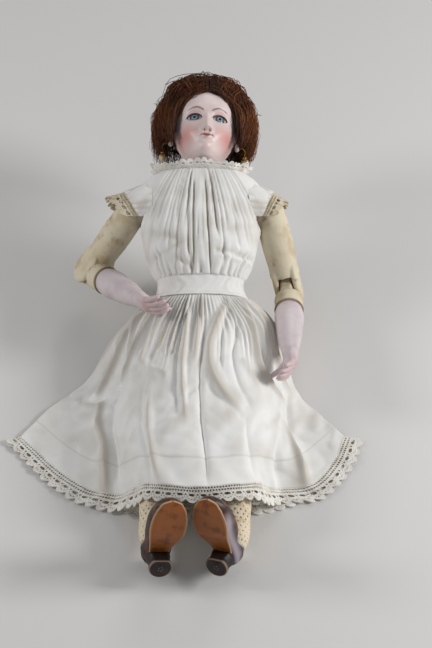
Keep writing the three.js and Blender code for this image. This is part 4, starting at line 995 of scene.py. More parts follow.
@dataclass
class Skirt:
    """Gathered skirt: a front panel over the legs, a back panel under them and a lace edging on each."""

    columns: int = 372
    rows: int = 128
    cloth: float = 0.5
    waist_level: float = 34.6
    waist: Triple = (31.6, 22.4, 20.3)
    front: tuple = (
        ((-57, 19, 17), (-45, 12, 36), (-20, -2, 50), (2, -4, 51), (22, -2, 50), (43, 14, 38),
         (51, 25, 20)),
        ((-80, -14, 3.4), (-60, -26, 17), (-40, -38, 39), (-18, -46, 49), (4, -48, 50), (24, -46, 49),
         (42, -40, 36), (56, -30, 18), (66, -20, 3.4)),
        ((-104, -38, 3), (-74, -64, 4.5), (-52, -78, 18), (-38, -88, 37), (-18, -96, 46), (4, -98, 47),
         (24, -96, 46), (42, -88, 36), (54, -76, 18), (66, -60, 5), (85, -47, 3)),
        ((-122, -62, 3), (-93, -93, 3), (-73, -108, 3), (-56, -114, 5), (-43, -119, 18), (-33, -129, 36),
         (-12, -138, 45), (10, -139, 46), (28, -134, 43), (38, -126, 33), (45, -114, 13), (53, -108, 3.6),
         (74, -104, 3), (90, -83, 3), (98, -62, 3)),
    )
    front_edge: tuple = (
        (-134, -64, 2), (-101, -105, 2), (-79, -121, 2), (-59, -128, 3), (-46, -132, 12), (-35, -139, 29),
        (-12, -146, 36), (10, -147, 37), (30, -142, 34), (42, -135, 22), (49, -127, 7), (55, -121, 2.4),
        (81, -117, 2), (103, -90, 2), (112, -64, 2),
    )
    back: tuple = (
        ((-57, 21, 14), (-32, 38, 10), (0, 44, 8), (30, 38, 10), (51, 27, 17)),
        ((-68, 8, 0.8), (-34, 30, 0.8), (0, 36, 0.8), (30, 30, 0.8), (60, 16, 0.8)),
        ((-80, -14, 0.8), (0, 0, 0.8), (66, -20, 0.8)),
        ((-104, -38, 0.8), (0, -60, 0.8), (85, -47, 0.8)),
        ((-122, -62, 0.8), (-75, -102, 0.8), (0, -116, 0.8), (66, -102, 0.8), (98, -62, 0.8)),
    )
    back_edge: tuple = (
        (-134, -66, 0.5), (-82, -116, 0.5), (0, -132, 0.5), (74, -116, 0.5), (112, -66, 0.5),
    )
    gathers: Gathers = Gathers(44, 1.35, (0.06, 0.42), 5)
    back_gathers: Gathers = Gathers(30, 0.8, (0.05, 0.25), 9)
    panel: Triple = (0.635, -0.4, 0.075)
    folds: tuple[Fold, ...] = (
        Fold(((0, 0.735), (0.1, 0.62), (0.22, 0.565), (0.36, 0.555), (0.55, 0.6), (0.64, 0.645)),
             -3.4, 0.016),
        Fold(((0.02, 0.77), (0.1, 0.655), (0.22, 0.6), (0.36, 0.59), (0.52, 0.625)), 1.3, 0.016),
        Fold(((0, 0.525), (0.13, 0.505), (0.28, 0.5), (0.4, 0.505)), -3.4, 0.01),
        Fold(((0.15, 0.522), (0.49, 0.527), (0.64, 0.538), (0.78, 0.545), (1.0, 0.532)), 2.8, 0.007, 1.2),
        Fold(((0, 0.4), (0.25, 0.427), (0.44, 0.44), (0.68, 0.478)), 2.4, 0.01, 1.2),
        Fold(((0.05, 0.43), (0.25, 0.451), (0.44, 0.463), (0.68, 0.499)), -3.6, 0.007),
        Fold(((0.06, 0.32), (0.24, 0.3), (0.33, 0.294), (0.44, 0.266)), -1.8, 0.016),
        Fold(((0.06, 0.285), (0.24, 0.264), (0.38, 0.25)), 3.4, 0.015),
        Fold(((0.08, 0.352), (0.3, 0.34), (0.46, 0.318)), 3.1, 0.015),
        Fold(((0.05, 0.155), (0.2, 0.12), (0.35, 0.08), (0.58, 0.058)), 4.5, 0.013),
        Fold(((0.06, 0.19), (0.25, 0.152), (0.4, 0.115), (0.57, 0.095)), -4.8, 0.013),
        Fold(((0.05, 0.225), (0.3, 0.192), (0.52, 0.162)), 3.6, 0.013),
        Fold(((0.08, 0.25), (0.3, 0.226), (0.5, 0.2)), -3.4, 0.011),
        Fold(((0.55, 0.13), (0.69, 0.167), (0.77, 0.209), (0.89, 0.234), (1.0, 0.246)), -4.8, 0.013),
        Fold(((0.45, 0.18), (0.69, 0.207), (0.8, 0.246), (0.97, 0.268)), 3.9, 0.012),
        Fold(((0.5, 0.33), (0.62, 0.336), (0.79, 0.376), (0.9, 0.398), (1.0, 0.404)), 2.5, 0.01, 1.4),
        Fold(((0.55, 0.365), (0.79, 0.405), (1.0, 0.43)), -2.4, 0.011),
        Fold(((0.08, 0.77), (0.29, 0.742), (0.45, 0.777), (0.56, 0.885)), -5.0, 0.014),
        Fold(((0.06, 0.815), (0.29, 0.79), (0.47, 0.83)), 3.9, 0.015),
        Fold(((0.1, 0.7), (0.34, 0.642), (0.5, 0.66), (0.62, 0.69)), 3.1, 0.015),
        Fold(((0.05, 0.88), (0.3, 0.86), (0.5, 0.93)), -3.6, 0.015),
        Fold(((0.5, 0.925), (0.74, 0.887), (0.82, 0.866)), 3.9, 0.012),
        Fold(((0.7, 0.873), (0.91, 0.847), (1.0, 0.836)), -4.5, 0.011),
        Fold(((0.72, 0.805), (0.84, 0.787), (1.0, 0.772)), 3.4, 0.011),
        Fold(((0.66, 0.665), (0.84, 0.66), (1.0, 0.655)), 1.7, 0.01, 1.3),
        Fold(((0.75, 0.06), (0.87, 0.075), (1.0, 0.09)), 2.8, 0.016),
        Fold(((0.75, 0.945), (0.88, 0.935), (1.0, 0.93)), 2.8, 0.015),
    )
    creases: tuple[Crease, ...] = (
        Crease((12, 90), (44, 83), 2.2, 3.4), Crease((14, 97), (46, 91), -1.8, 2.6),
        Crease((98, 74), (70, 62), -1.4, 3.0), Crease((132, 76), (114, 92), 0.9, 2.2),
        Crease((134, 82), (156, 104), 0.9, 2.2), Crease((176, 78), (164, 62), -1.3, 3.0),
        Crease((30, 132), (8, 144), 1.6, 3.2), Crease((216, 120), (232, 138), 1.6, 3.0),
        Crease((60, 118), (84, 126), 0.9, 2.6), Crease((178, 112), (200, 100), -1.2, 2.8),
        Crease((86, 60), (100, 52), 1.2, 2.4), Crease((108, 100), (96, 116), 0.8, 2.4),
    )
    crease_scale: Span = (240.0, 155.0)
    hem_depth: float = 0.865
    tuck: float = 0.9
    side: float = 0.14
    lie: Span = (2.4, 0.7)
    front_bend: Span = (14, 34)
    back_bend: Span = (23, 36)
    lace_lie: Span = (1.5, 0.5)
    lace: LacePattern = LacePattern()
    back_lace: LacePattern = LacePattern(columns=14, rows=26)

    def waist_arc(self, first: float, last: float) -> Array:
        """Half of the waist's oval between two angles, in the row frame."""
        angle = np.linspace(first, last, 15)
        wide, front, back = self.waist
        depth = np.where(np.sin(angle) > 0, front, back)
        return POSE.body().row(stacked(wide * np.cos(angle), -depth * np.sin(angle), self.waist_level))

    def front_points(self) -> Pair:
        """Front panel: the swept surface moved along its normal by gathers, folds and creases.

        Returns:
            Points (rows, columns, 3) and the height of the folds.
        """
        base = swept((self.waist_arc(math.pi - 0.07, 0.07), *self.front), self.rows, self.columns)
        v, u = unit_grid(self.rows, self.columns)
        middle, drift, width = self.panel
        calm = 1 - 0.9 * bell(u - middle - drift * v, width)
        height = self.gathers.at(u, v) * calm * (0.5 + 0.5 * ease(0, 0.06, v))
        height = height + sum(fold.at(u, v) for fold in self.folds)
        across, down = u * self.crease_scale[0], v * self.crease_scale[1]
        height = height + sum(crease.at(across, down) for crease in self.creases)
        slack = np.sin(0.11 * across + 0.07 * down) * np.sin(0.05 * across - 0.13 * down + 1)
        slack = slack + ripple(u + 0.06 * np.sin(9 * v), [(0.6, 61.0, 0.4), (0.5, 97.0, 2.0)])
        height = height + 0.55 * slack * ease(0.2, 0.6, v)
        height = height + 0.3 * crumple(across, down, 7) * ease(0.12, 0.4, v)
        height = height * ease(-0.02, 0.05, v)
        ridge = 0.4 * ease(-0.006, 0.0, v - self.hem_depth)
        return above(base + normals(base) * (height + ridge)[..., None], self.lie[0]), height

    def back_points(self) -> Pair:
        """Back panel: flat on the floor with low waves, gathered up to the waist.

        Its sides are drawn to the front panel's, just below them.

        Returns:
            Points (rows, columns, 3) and the height of the gathers.
        """
        rows, columns = self.rows // 2, self.columns // 2
        base = swept((self.waist_arc(math.pi + 0.07, math.tau - 0.07), *self.back), rows, columns)
        v, u = unit_grid(rows, columns)
        height = self.back_gathers.at(u, v) * ease(0, 0.05, v)
        lifted = base + normals(base) * height[..., None]
        lifted[..., 2] += 0.25 * ripple(u * 40 + v * 11, [(1.0, 1.0, 0.0), (0.6, 2.3, 1.0)])
        front = self.front_points()[0]
        for column, near in ((0, u), (-1, 1 - u)):
            edge = front[::-1, column]
            rim = lifted[:, column]
            along = np.clip(rim[:, 1], edge[0, 1], edge[-1, 1])
            meet = np.stack([np.interp(along, edge[:, 1], axis) for axis in edge.T], axis=-1)
            meet[:, 2] -= self.tuck
            pull = (1 - ease(0, self.side, near))[..., None]
            lifted = lifted + pull * (meet - rim)[:, None, :]
        return above(lifted, self.lie[1]), height

    def edging(self, name: str, hem: Array, edge: Sequence[Sequence[float]], floor: float,
               pattern: LacePattern) -> Object:
        """Lace between the hem and the edge line, its along measured on the edge line."""
        outer = spaced(edge, len(hem))
        length = np.linalg.norm(np.diff(outer, axis=0), axis=1).sum()
        count = int(round(length / pattern.pitch))
        where = np.linspace(0, 1, len(hem))

        def place(along: Array, across: Array) -> Array:
            """Straight line from hem to edge at one place along, rippled and kept off the floor."""
            inner = np.stack([np.interp(along, where, axis) for axis in hem.T], axis=-1)
            far = np.stack([np.interp(along, where, axis) for axis in outer.T], axis=-1)
            sway = 0.9 * across * np.sin(math.tau * count * along / 3.3)
            point = inner + (far - inner) * (-0.04 + 1.02 * across)[..., None]
            point[..., 2] = np.maximum(point[..., 2] + sway, floor)
            return point

        return pattern.make(name, count, place)

    def build(self, cotton: Material, thread: Material) -> None:
        front_lie, back_lie = self.lace_lie
        for part, points, height, edge, bend, lie, pattern in (
            ("front", *self.front_points(), self.front_edge, self.front_bend, front_lie, self.lace),
            ("back", *self.back_points(), self.back_edge, self.back_bend, back_lie, self.back_lace),
        ):
            panel = surface(f"cloth_skirt_{part}", points)
            v = np.linspace(0, 1, points.shape[0])[:, None]
            # painted shade: deeper where the folds sink, to darken their valleys
            paint(panel, "fold", 0.8 * np.clip(-height / 2.4, 0, 1))
            paint(panel, "stitch", np.broadcast_to(0.3 * bell(v - self.hem_depth, 0.003), height.shape))
            dress(panel, cotton, f"skirt_{part}")
            thicken(panel, self.cloth)
            lace = self.edging(f"lace_hem_{part}", points[-1], edge, lie, pattern)
            length = float(np.linalg.norm(np.diff(points, axis=0), axis=2).sum(axis=0).mean())
            flat = flat_size(panel, length)
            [spine(level) for level in bend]
            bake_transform(panel)
            dress(lace, thread, f"hem_lace_{part}", "seat")


@dataclass
class Bodice:
    """Blouse-like bodice gathered into the neckline and the waistband, with its lace frill."""

    columns: int = 344
    rows: int = 102
    cloth: float = 0.5
    profile: tuple = (
        (50.0, 28.4, 21.4, 18.8), (47.6, 30.2, 23.6, 20.0), (50.4, 32.2, 25.4, 20.8), (58, 35.6, 28.8, 22),
        (68, 38.8, 30.6, 22.6), (82, 42.0, 29.8, 22.4), (94, 43.4, 27.2, 21.4), (103, 43.6, 25.4, 20.8),
        (110, 43.2, 24.2, 20.4), (115.5, 40.6, 23.2, 20), (119.5, 36.6, 22.2, 19.6), (123, 31.4, 21, 19),
    )
    squareness: float = 0.86
    band: tuple = (
        (33.4, 33.0, 23.8, 21.4), (37, 31.2, 22.7, 20.6), (42, 29.5, 22.2, 19.7), (49, 30.4, 23.0, 19.9),
    )
    armhole: float = 13.2
    chest: float = 25
    creases: tuple[Crease, ...] = (
        Crease((12, 63), (34, 60.5), -1.5, 2.0), Crease((15, 59.6), (34, 57), 1.4, 2.0),
        Crease((25, 65), (8.5, 50), 1.4, 2.3), Crease((-31, 60), (-14, 68), -1.0, 2.4),
        Crease((-34, 78), (-18, 72), -0.8, 2.6), Crease((35, 82), (19, 78), -0.7, 2.6),
        Crease((-15, 58), (-5, 51), -1.1, 1.8),
    )
    grooves: tuple[Fold, ...] = (
        Fold(((0.12, -7.4), (0.5, -5.8), (1.06, -4.4)), -3.0, 0.95),
        Fold(((0.1, 6.4), (0.5, 6.4), (1.06, 7.4)), -3.0, 0.95),
        Fold(((0.05, -13.5), (0.5, -10.4), (0.95, -8.8)), -2.0, 1.1),
        Fold(((0.05, 13.8), (0.5, 13.0), (0.75, 14)), -1.8, 1.2),
        Fold(((0.08, 0.2), (0.5, 0.1), (1.0, 1.4)), 1.2, 1.5),
    )
    fan_seed: int = 21
    waist_gathers: Gathers = Gathers(36, 0.8, (0.06, 0.22), 3)
    slackness: float = 0.6
    frill_height: float = 5.6
    frill_flare: float = 4.0
    frill_waves: int = 13
    frill: LacePattern = LacePattern(4.6, 14, 20, 0.5)

    def fan(self) -> list[Fold]:
        """Uneven valleys that run down from the neckline in a fan, at places 3 to 4 millimetres apart."""
        draw = np.random.default_rng(self.fan_seed)
        folds = []
        for place in np.arange(-46, 47, 3.7):
            at = place + draw.uniform(-0.8, 0.8)
            bend = draw.uniform(-1.2, 1.2)
            end = draw.uniform(0.45, 1.05)
            depth = draw.uniform(0.8, 1.9) * (1 - 0.35 * abs(place) / 46)
            path = ((-0.06, at), (0.5 * end, at + bend), (end, at))
            folds.append(Fold(path, -depth, draw.uniform(0.85, 1.3)))
        return folds

    def relief(self, x: Array, level: Array, angle: Array) -> Array:
        """Height of the cloth's folds: the fan, deep grooves, gathers at waist and back, and creases."""
        front = ease(-0.1, 0.35, np.sin(angle))
        down = (self.profile[-1][0] - level) / 70
        place = x / (0.45 + 0.5 * (1 - np.square(1 - np.clip(down, 0, 1))))
        folds = sum(fold.at(place, down) for fold in [*self.fan(), *self.grooves])
        folds = folds + sum(crease.at(x, level) for crease in self.creases)
        back = 0.6 * np.sin(angle * 34 + 1.5 * np.sin(angle * 5)) * ease(96, 120, level) * (1 - front)
        waist = self.waist_gathers.at(angle / (math.tau), 1.05 - down)
        slack = self.slackness * np.sin(0.21 * x + 0.16 * level) * np.sin(0.11 * x - 0.19 * level + 1)
        slack = slack + 0.22 * crumple(x, level, 4)
        return folds * front + back + waist + slack * ease(52, 60, level) * (1 - ease(100, 114, level))

    def shell(self, profile: tuple, rows: int, columns: int) -> tuple[Array, Array, Array]:
        """Oval rings through a profile of level, half width, front and back, squarer than an ellipse.

        Returns:
            Local points, the angle of each column and the place down the profile.
        """
        table = np.array(profile, dtype=float)
        steps = np.linalg.norm(np.diff(table[:, [0, 2]], axis=0), axis=1)
        places = np.concatenate([[0], np.cumsum(steps)]) / steps.sum()
        v = np.linspace(0, 1, rows)
        level, wide, front, back = smooth_rows(places, table, v).T[..., None]
        angle = round_angles(columns)
        depth = np.where(np.sin(angle) > 0, front, back)
        across = signed_power(np.cos(angle), self.squareness)
        points = stacked(wide * across, -depth * np.sin(angle), level)
        return points, np.broadcast_to(angle, depth.shape), np.broadcast_to(v[:, None], depth.shape)

    def raised(self, local: Array, angle: Array, height: Array) -> Array:
        """Points moved straight out from the spine by a height."""
        return local + stacked(np.cos(angle), -np.sin(angle), 0.0) * height[..., None]

    def build_shell(self, cotton: Material, frill: Object) -> None:
        """The gathered cloth with its armholes cut out."""
        local, angle, _ = self.shell(self.profile, self.rows, self.columns)
        height = self.relief(local[..., 0], local[..., 2], angle)
        verts = self.raised(local, angle, height).reshape(-1, 3)
        off_axis = np.hypot(verts[:, 1], verts[:, 2] - POSE.shoulder_level)
        inside = (off_axis < self.armhole) & (np.abs(verts[:, 0]) > self.chest)
        faces = grid_faces(self.rows, self.columns, wrap=True)
        used, faces = np.unique(faces[~inside[faces].any(axis=1)], return_inverse=True)
        made = mesh_object("cloth_bodice", POSE.body().row(verts[used]), faces.reshape(-1, 4), closed=False)
        # painted shade: deeper where the folds sink, to darken their valleys
        paint(made, "fold", 0.8 * np.clip(-height.ravel()[used] / 2.2, 0, 1))
        dress(made, cotton, "bodice", "trunk")
        thicken(made, self.cloth)
        flat = flat_size(made, self.profile[-1][0] - self.profile[0][0])

    def build_band(self, cotton: Material) -> None:
        """The waistband, straight and slightly creased, stitched along both edges."""
        local, angle, v = self.shell(self.band, 26, 300)
        waves = [(1.0, 17.0, 0.0), (0.8, 29.0, 1.0)]
        crease = 0.16 * ripple(angle + 0.12 * np.sin(5 * v + 3 * angle), waves)
        edge = 0.35 * (bell(v - 0.06, 0.05) + bell(v - 0.94, 0.05))
        points = POSE.body().row(self.raised(local, angle, crease + edge))
        made = surface("cloth_waistband", points, wrap=True)
        paint(made, "stitch", 0.25 * (bell(v - 0.12, 0.02) + bell(v - 0.88, 0.02)))
        dress(made, cotton, "waistband", "trunk")
        thicken(made, self.cloth)
        flat = flat_size(made, self.band[-1][0] - self.band[0][0])

    def build_frill(self, thread: Material) -> Object:
        """The standing lace frill round the neckline."""
        level, wide, front, back = self.profile[-1]
        count = int(round(1.25 * math.pi * (wide + (front + back) / 2) / self.frill.pitch))

        def place(along: Array, across: Array) -> Array:
            """Point of the frill: the neckline's oval let out by its flare and waves."""
            angle = math.tau * along
            waves = 1.5 * np.cos(self.frill_waves * angle + np.sin(3 * angle)) + 0.7 * np.sin(7 * angle + 1)
            flare = across * (self.frill_flare + waves)
            depth = np.where(np.sin(angle) > 0, front, back) + flare
            height = level + 0.2 + self.frill_height * across * (1 + 0.2 * np.sin(5 * angle))
            return POSE.body().row(stacked((wide + flare) * np.cos(angle), -depth * np.sin(angle), height))

        made = self.frill.make("lace_neck_frill", count, place)
        dress(made, thread, "neck_frill", "trunk")
        return made

    def build(self, cotton: Material, thread: Material) -> None:
        """Make the frill, the shell and the band."""
        self.build_shell(cotton, self.build_frill(thread))
        self.build_band(cotton)


@dataclass
class Sleeve:
    """Cap sleeve over the shoulder's hinge, open under the arm, with a deep lace edging.

    The cap reaches out furthest on top and runs back to the armhole in front and behind.
    """

    side: Side
    tip: float
    lace_fall: float
    rows: int = 44
    columns: int = 200
    cloth: float = 0.5
    middle: float = 5
    sweep: float = 118
    root: float = 33.4
    low_tip: float = 42.5
    top_radius: tuple[float, ...] = (22.6, 21.4, 19.4, 17.0, 14.6)
    side_radius: float = 13.6
    lace_width: float = 14.5
    bend: Span = (36.0, 50.0)
    lace: LacePattern = LacePattern(6.4, 16, 28, 0.5, mesh_hole=0.82, oval=(7.4, 2.7, 1.6))

    def edge(self, along: Array) -> Array:
        """How far the cap reaches out: the tip on top, eased to the low tip at both ends."""
        return self.low_tip + (self.tip - self.low_tip) * (1 - np.abs(2 * along - 1) ** 1.7)

    def turn(self, along: Array, reach: Array, radius: Array) -> Array:
        """Point at an angle about the hinge, from the front over the top to the back as along runs to 1.

        The radius nears the side radius toward both ends, as the square of the way there.
        """
        away = 2 * along - 1
        angle = np.radians(self.middle + self.sweep * away)
        full = radius + (self.side_radius - radius) * away**2
        up = POSE.shoulder_level + full * np.cos(angle)
        return POSE.body().row(stacked(self.side.value * reach, full * np.sin(angle), up))

    def build_lace(self, thread: Material) -> Object:
        """The ruffle of lace that falls from the cap's edge over the arm."""
        label = self.side.label
        fall = math.radians(self.lace_fall)
        count = int(round(2.5 * math.radians(self.sweep) * (self.side_radius + 3) / self.lace.pitch))

        def place(along: Array, across: Array) -> Array:
            """Point of the ruffle, rippled more toward its own edge."""
            wave = 1.8 * across * np.sin(math.tau * 7 * along + np.sin(11 * along))
            step = self.lace_width * across
            out = self.edge(along) - 0.3 + step * math.cos(fall)
            return self.turn(along, out, self.top_radius[-1] - step * math.sin(fall) + wave)

        made = self.lace.make(f"lace_sleeve_{label}", count, place)
        dress(made, thread, f"sleeve_lace_{label}", f"arm_{label}")
        return made

    def build(self, cotton: Material, thread: Material) -> None:
        """Make the gathered cap and its edging."""
        label = self.side.label
        v, u = unit_grid(self.rows, self.columns)
        radius = smooth_rows(np.linspace(0, 1, len(self.top_radius)), np.array(self.top_radius), v)
        reach = self.root + (self.edge(u) - self.root) * v
        middle = ease(0.0, 0.4, v) * (1 - ease(0.7, 1.0, v))
        pleat = (1 - 0.6 * middle) * 0.55 * np.sin(math.tau * 15 * u + 3 * np.sin(9 * u))
        soft = middle * np.sin(math.tau * 3.5 * u + 1 + 2 * v)
        made = surface(f"cloth_sleeve_{label}", self.turn(u, reach, radius + pleat + soft))
        # painted shade: deeper where the pleats sink, to darken their valleys
        paint(made, "fold", 0.8 * np.clip(-pleat - soft, 0, 1))
        dress(made, cotton, f"sleeve_{label}")
        thicken(made, self.cloth)
        flat = flat_size(made, self.tip - self.root)
        lace = self.build_lace(thread)
        hinge = [np.array([self.side.value * at, 0, POSE.shoulder_level]) for at in self.bend]
        start, end = (Vector(POSE.body().row(point) * MM) for point in hinge)
        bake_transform(made)


# Head


@dataclass(frozen=True)
class Mound:
    """A soft form or blush of the face, the same left and right; a hollow where its height is negative."""

    height: float
    across: float
    width: float
    level: float
    tall: float

    def at(self, x: Array, level: Array) -> Array:
        """Height times the bells of the distances across and up."""
        return self.height * bell(np.abs(x) - self.across, self.width) * bell(level - self.level, self.tall)


@dataclass
class Head:
    """Bisque head with a painted face, ears, neck and glass eyes.

    Places are distances from the face's middle and levels above the neck.
    """

    columns: int = 300
    rows: int = 240
    forward: float = 4.8
    rings: tuple = (
        (12.6, 4.0, 14.6, -4), (14.2, 8.2, 20, -1), (17, 11, 23.4, 1.5), (21, 13.8, 25.1, 4),
        (27, 17.4, 25.8, 10), (34, 20.8, 26, 18), (43, 22, 25.6, 25), (54, 23.6, 26.4, 30),
        (65, 21.5, 21.6, 27), (72, 15, 13.5, 19), (75.6, 7, 6.5, 9), (76.8, 1, 1, 1),
    )
    eye_place: Triple = (9.0, -21.3, 43.0)
    eye_middle: Triple = (8.0, -22.2, 43.0)
    eye_radii: Triple = (6.6, 4.6, 5.6)
    eye_turn: float = 27
    gaze: Triple = (0, -0.99, 0.1)
    opening: Triple = (5.1, 2.5, 2.1)
    recess: float = 3.4
    mouth_level: float = 27.6
    mouth_half: float = 3.9
    nose_level: float = 32.8
    brow: tuple = ((2.4, 47.5), (4.5, 48.8), (7.3, 49.9), (10.5, 49.8), (14.4, 48.5))
    ear_level: float = 39.0
    ear_height: float = 12.0
    ear_reach: float = 22.0
    wing: Mound = Mound(1.7, 3.1, 1.6, 32.2, 1.7)
    nostril: Mound = Mound(-1.1, 1.9, 0.9, 30.9, 0.7)
    muzzle: Mound = Mound(1.2, 0, 8, 28, 6)
    under_lip: Mound = Mound(-0.8, 0, 4, 24.2, 1.5)
    chin: Mound = Mound(2.4, 0, 6, 20, 4.2)
    cheek: Mound = Mound(1.9, 12.5, 7, 30.5, 7)
    socket: Mound = Mound(-1.5, 8.2, 5.5, 43.6, 4.2)
    brow_bone: Mound = Mound(0.6, 9.5, 7, 51, 3)
    cheek_blush: Mound = Mound(0.66, 14.5, 8, 29.5, 7.6)
    chin_blush: Mound = Mound(0.12, 0, 5, 20, 4)
    lid_blush: Mound = Mound(0.22, 9, 6, 47.5, 2.4)
    nostril_paint: Mound = Mound(0.75, 1.9, 0.75, 31.0, 0.6)
    neck_rows: tuple = (
        (-10.5, 7.5), (-8, 10.2), (-4, 12.2), (0, 12.9), (6, 12.5), (12, 12.6), (20, 13.2),
    )

    def lid_gap(self, x: Array, level: Array) -> Array:
        """Distance inside the eye's almond: the nearer of the upper and the lower lid's curve."""
        half, upper, lower = self.opening
        across = np.clip((np.abs(x) - self.eye_place[0]) / half, -1, 1)
        bow = np.sqrt(np.clip(1 - across * across, 0, 1)) ** 1.25
        rise = level - self.eye_place[2] - 0.25 * across
        outside = np.maximum(np.abs((np.abs(x) - self.eye_place[0]) / half) - 1, 0) * half
        return np.minimum(upper * bow - rise, rise + lower * bow) - outside

    def lip_line(self, x: Array) -> Array:
        """Level of the line between the lips: a shallow bow that rises outward, its corners turned down."""
        out = np.minimum(np.abs(x / self.mouth_half), 1.1)
        return self.mouth_level - 0.45 * bell(x, 1.2) + 0.9 * out**2 - 0.5 * out**8

    def lips(self, x: Array, level: Array) -> Array:
        """Painted lips: a cupid's bow above the line and a fuller, narrower lip below."""
        rise = level - self.lip_line(x)
        upper = 1.8 * np.clip(1 - np.abs(x / (0.8 * self.mouth_half)), 0, 1) - 0.5 * bell(x, 0.7)
        lower = 1.9 * np.clip(1 - np.square(x / (0.7 * self.mouth_half)), 0, 1)
        bow = 0.9 * ease(-0.3, 0.3, upper - rise)
        full = 0.5 * ease(-0.3, 0.3, lower + rise)
        return np.where(rise > 0, bow, full) * (1 - ease(0.8, 1.0, np.abs(x / self.mouth_half)))

    def relief(self, x: Array, level: Array) -> Array:
        """Height of nose, lips, chin, cheeks and brows, less the sockets and the eyes' openings."""
        side = np.abs(x)
        slope = np.interp(level, [29.2, 30.6, self.nose_level, 38, 43, 47], [0, 0.9, 5.4, 3.2, 1.5, 0])
        bridge = slope * bell(x, 2.6 + 0.05 * np.abs(level - 43))
        rise = level - self.lip_line(x)
        lips = 1.3 * bell(rise - 1.0, 1.1) * bell(x, 4.2) + 1.5 * bell(rise + 1.4, 1.2) * bell(x, 3.4)
        corners = 0.7 * bell(side - self.mouth_half, 0.8) * bell(rise, 1.1)
        parting = -0.9 * bell(rise, 0.45) * bell(x, 4.0) - corners
        gap = self.lid_gap(x, level)
        crease = -0.35 * bell(gap + 1.6, 0.5) * (level > self.eye_place[2])
        lid = 0.45 * bell(gap + 0.5, 0.6)
        hole = -self.recess * ease(-0.12, 0.3, gap)
        forms = (self.wing, self.nostril, self.muzzle, self.under_lip, self.chin, self.cheek, self.socket,
                 self.brow_bone)
        soft = sum(form.at(x, level) for form in forms)
        return bridge + lips + parting + soft + crease + lid + hole

    def shell(self, rows: int, columns: int, crowd: float, offset: float = 0.0) -> Pair:
        """Oval rings of the head before its relief, with columns crowded toward the face.

        Returns:
            Local points (rows, columns, 3) and how far each column faces forward, from -1 to 1.
        """
        table = np.array(self.rings)
        at = np.linspace(table[0, 0], table[-1, 0], rows)
        level, wide, front, back = smooth_rows(table[:, 0], table, at).T[..., None]
        turn = np.linspace(-math.pi, math.pi, columns, endpoint=False)
        angle = turn - crowd * np.sin(turn)
        facing = np.broadcast_to(np.cos(angle), (rows, columns))
        depth = np.where(facing > 0, front, back) + offset
        return stacked((wide + offset) * np.sin(angle), -self.forward - depth * facing, level), facing

    def painted_lines(self, x: Array, level: Array) -> Array:
        """Brows, lid lines, lashes, nostrils and the line between the lips."""
        side = np.abs(x)
        gap = self.lid_gap(x, level)
        arc = smooth_rows([p[0] for p in self.brow], np.array(self.brow)[:, 1], side)
        reach = ease(2.2, 3.6, side) * (1 - ease(12.6, 14.6, side))
        brows = 0.85 * bell(level - arc, 0.55) * reach
        upper = level > self.eye_place[2]
        lids = np.where(upper, bell(gap + 0.2, 0.6), 0.85 * bell(gap + 0.15, 0.45))
        strokes = np.cos(math.pi * (side - self.eye_place[0]) * 1.15) ** 8
        reach = ease(0.2, 0.6, -gap) * (1 - ease(0.9, 2.0, -gap))
        lashes = 0.55 * strokes * reach * bell(side - self.eye_place[0], 6.5)
        nostrils = self.nostril_paint.at(x, level)
        mouth = 0.65 * bell(level - self.lip_line(x), 0.36) * (1 - ease(1.0, 1.15, side / self.mouth_half))
        return np.clip(np.maximum.reduce([brows, lids, lashes, nostrils, mouth]), 0, 1)

    def ear(self, side: Side) -> Pair:
        """Ear: an upright oval with a lobe."""
        depth = 1 - self.forward
        middle = (side.value * self.ear_reach, depth, self.ear_level)
        shell = ball_parts(middle, (2.4, 4, self.ear_height / 2), 14, 20)
        hang = (side.value * (self.ear_reach + 1.4), depth, self.ear_level - 5.6)
        return join_parts([shell, ball_parts(hang, (1.9, 2.3, 2.3), 10, 14)])

    def neck(self) -> Pair:
        """Neck from the ball in its socket up into the head."""
        level, radius = np.array(self.neck_rows)[..., None].transpose(1, 0, 2)
        angle = round_angles(64)
        return loft_parts(stacked(radius * np.cos(angle), radius * np.sin(angle) - 1.0, level))

    def build_skin(self, bisque: Material) -> None:
        """The head's skin with its ears and neck, painted by attributes."""
        points, facing = self.shell(self.rows, self.columns, 0.55)
        x, level = points[..., 0], points[..., 2]
        front = ease(0.0, 0.25, facing)
        points[..., 1] -= self.relief(x, level) * front
        parts = [loft_parts(points), self.neck(), self.ear(Side.LEFT), self.ear(Side.RIGHT)]
        verts, faces = join_parts(parts)
        made = mesh_object("bisque_head", POSE.neck().row(verts), faces)
        blush = (self.cheek_blush, self.chin_blush, self.lid_blush)
        paint(made, "blush", sum(spot.at(x, level) for spot in blush) * front)
        paint(made, "lip", self.lips(x, level) * front)
        paint(made, "line", self.painted_lines(x, level) * front)
        dress(made, bisque, "head", "swivel_head")

    def build_eye(self, side: Side, glass: Material) -> None:
        """A glass eye whose attribute is the distance from the gaze's axis, in eyes of 5 millimetres."""
        sign = np.array([side.value, 1, 1])
        verts, faces = ball_parts((0, 0, 0), self.eye_radii, 60, 80)
        verts = verts @ turn_z(side.value * self.eye_turn).T + sign * self.eye_middle
        made = mesh_object(f"glass_eye_{side.label}", POSE.neck().row(verts), faces)
        gaze = sign * self.gaze
        off = verts - sign * self.eye_place
        ahead = off @ (gaze / np.linalg.norm(gaze))
        reach = np.sqrt(np.maximum(np.square(off).sum(axis=1) - ahead**2, 0)) / 5.0
        paint(made, "iris", np.where(ahead > 0, np.clip(reach, 0, 1), 1.0))
        dress(made, glass, f"eye_{side.label}", "swivel_head")

    def build(self, bisque: Material, glass: Material) -> None:
        """Make the skin and both eyes."""
        self.build_skin(bisque)
        for side in Side:
            self.build_eye(side, glass)


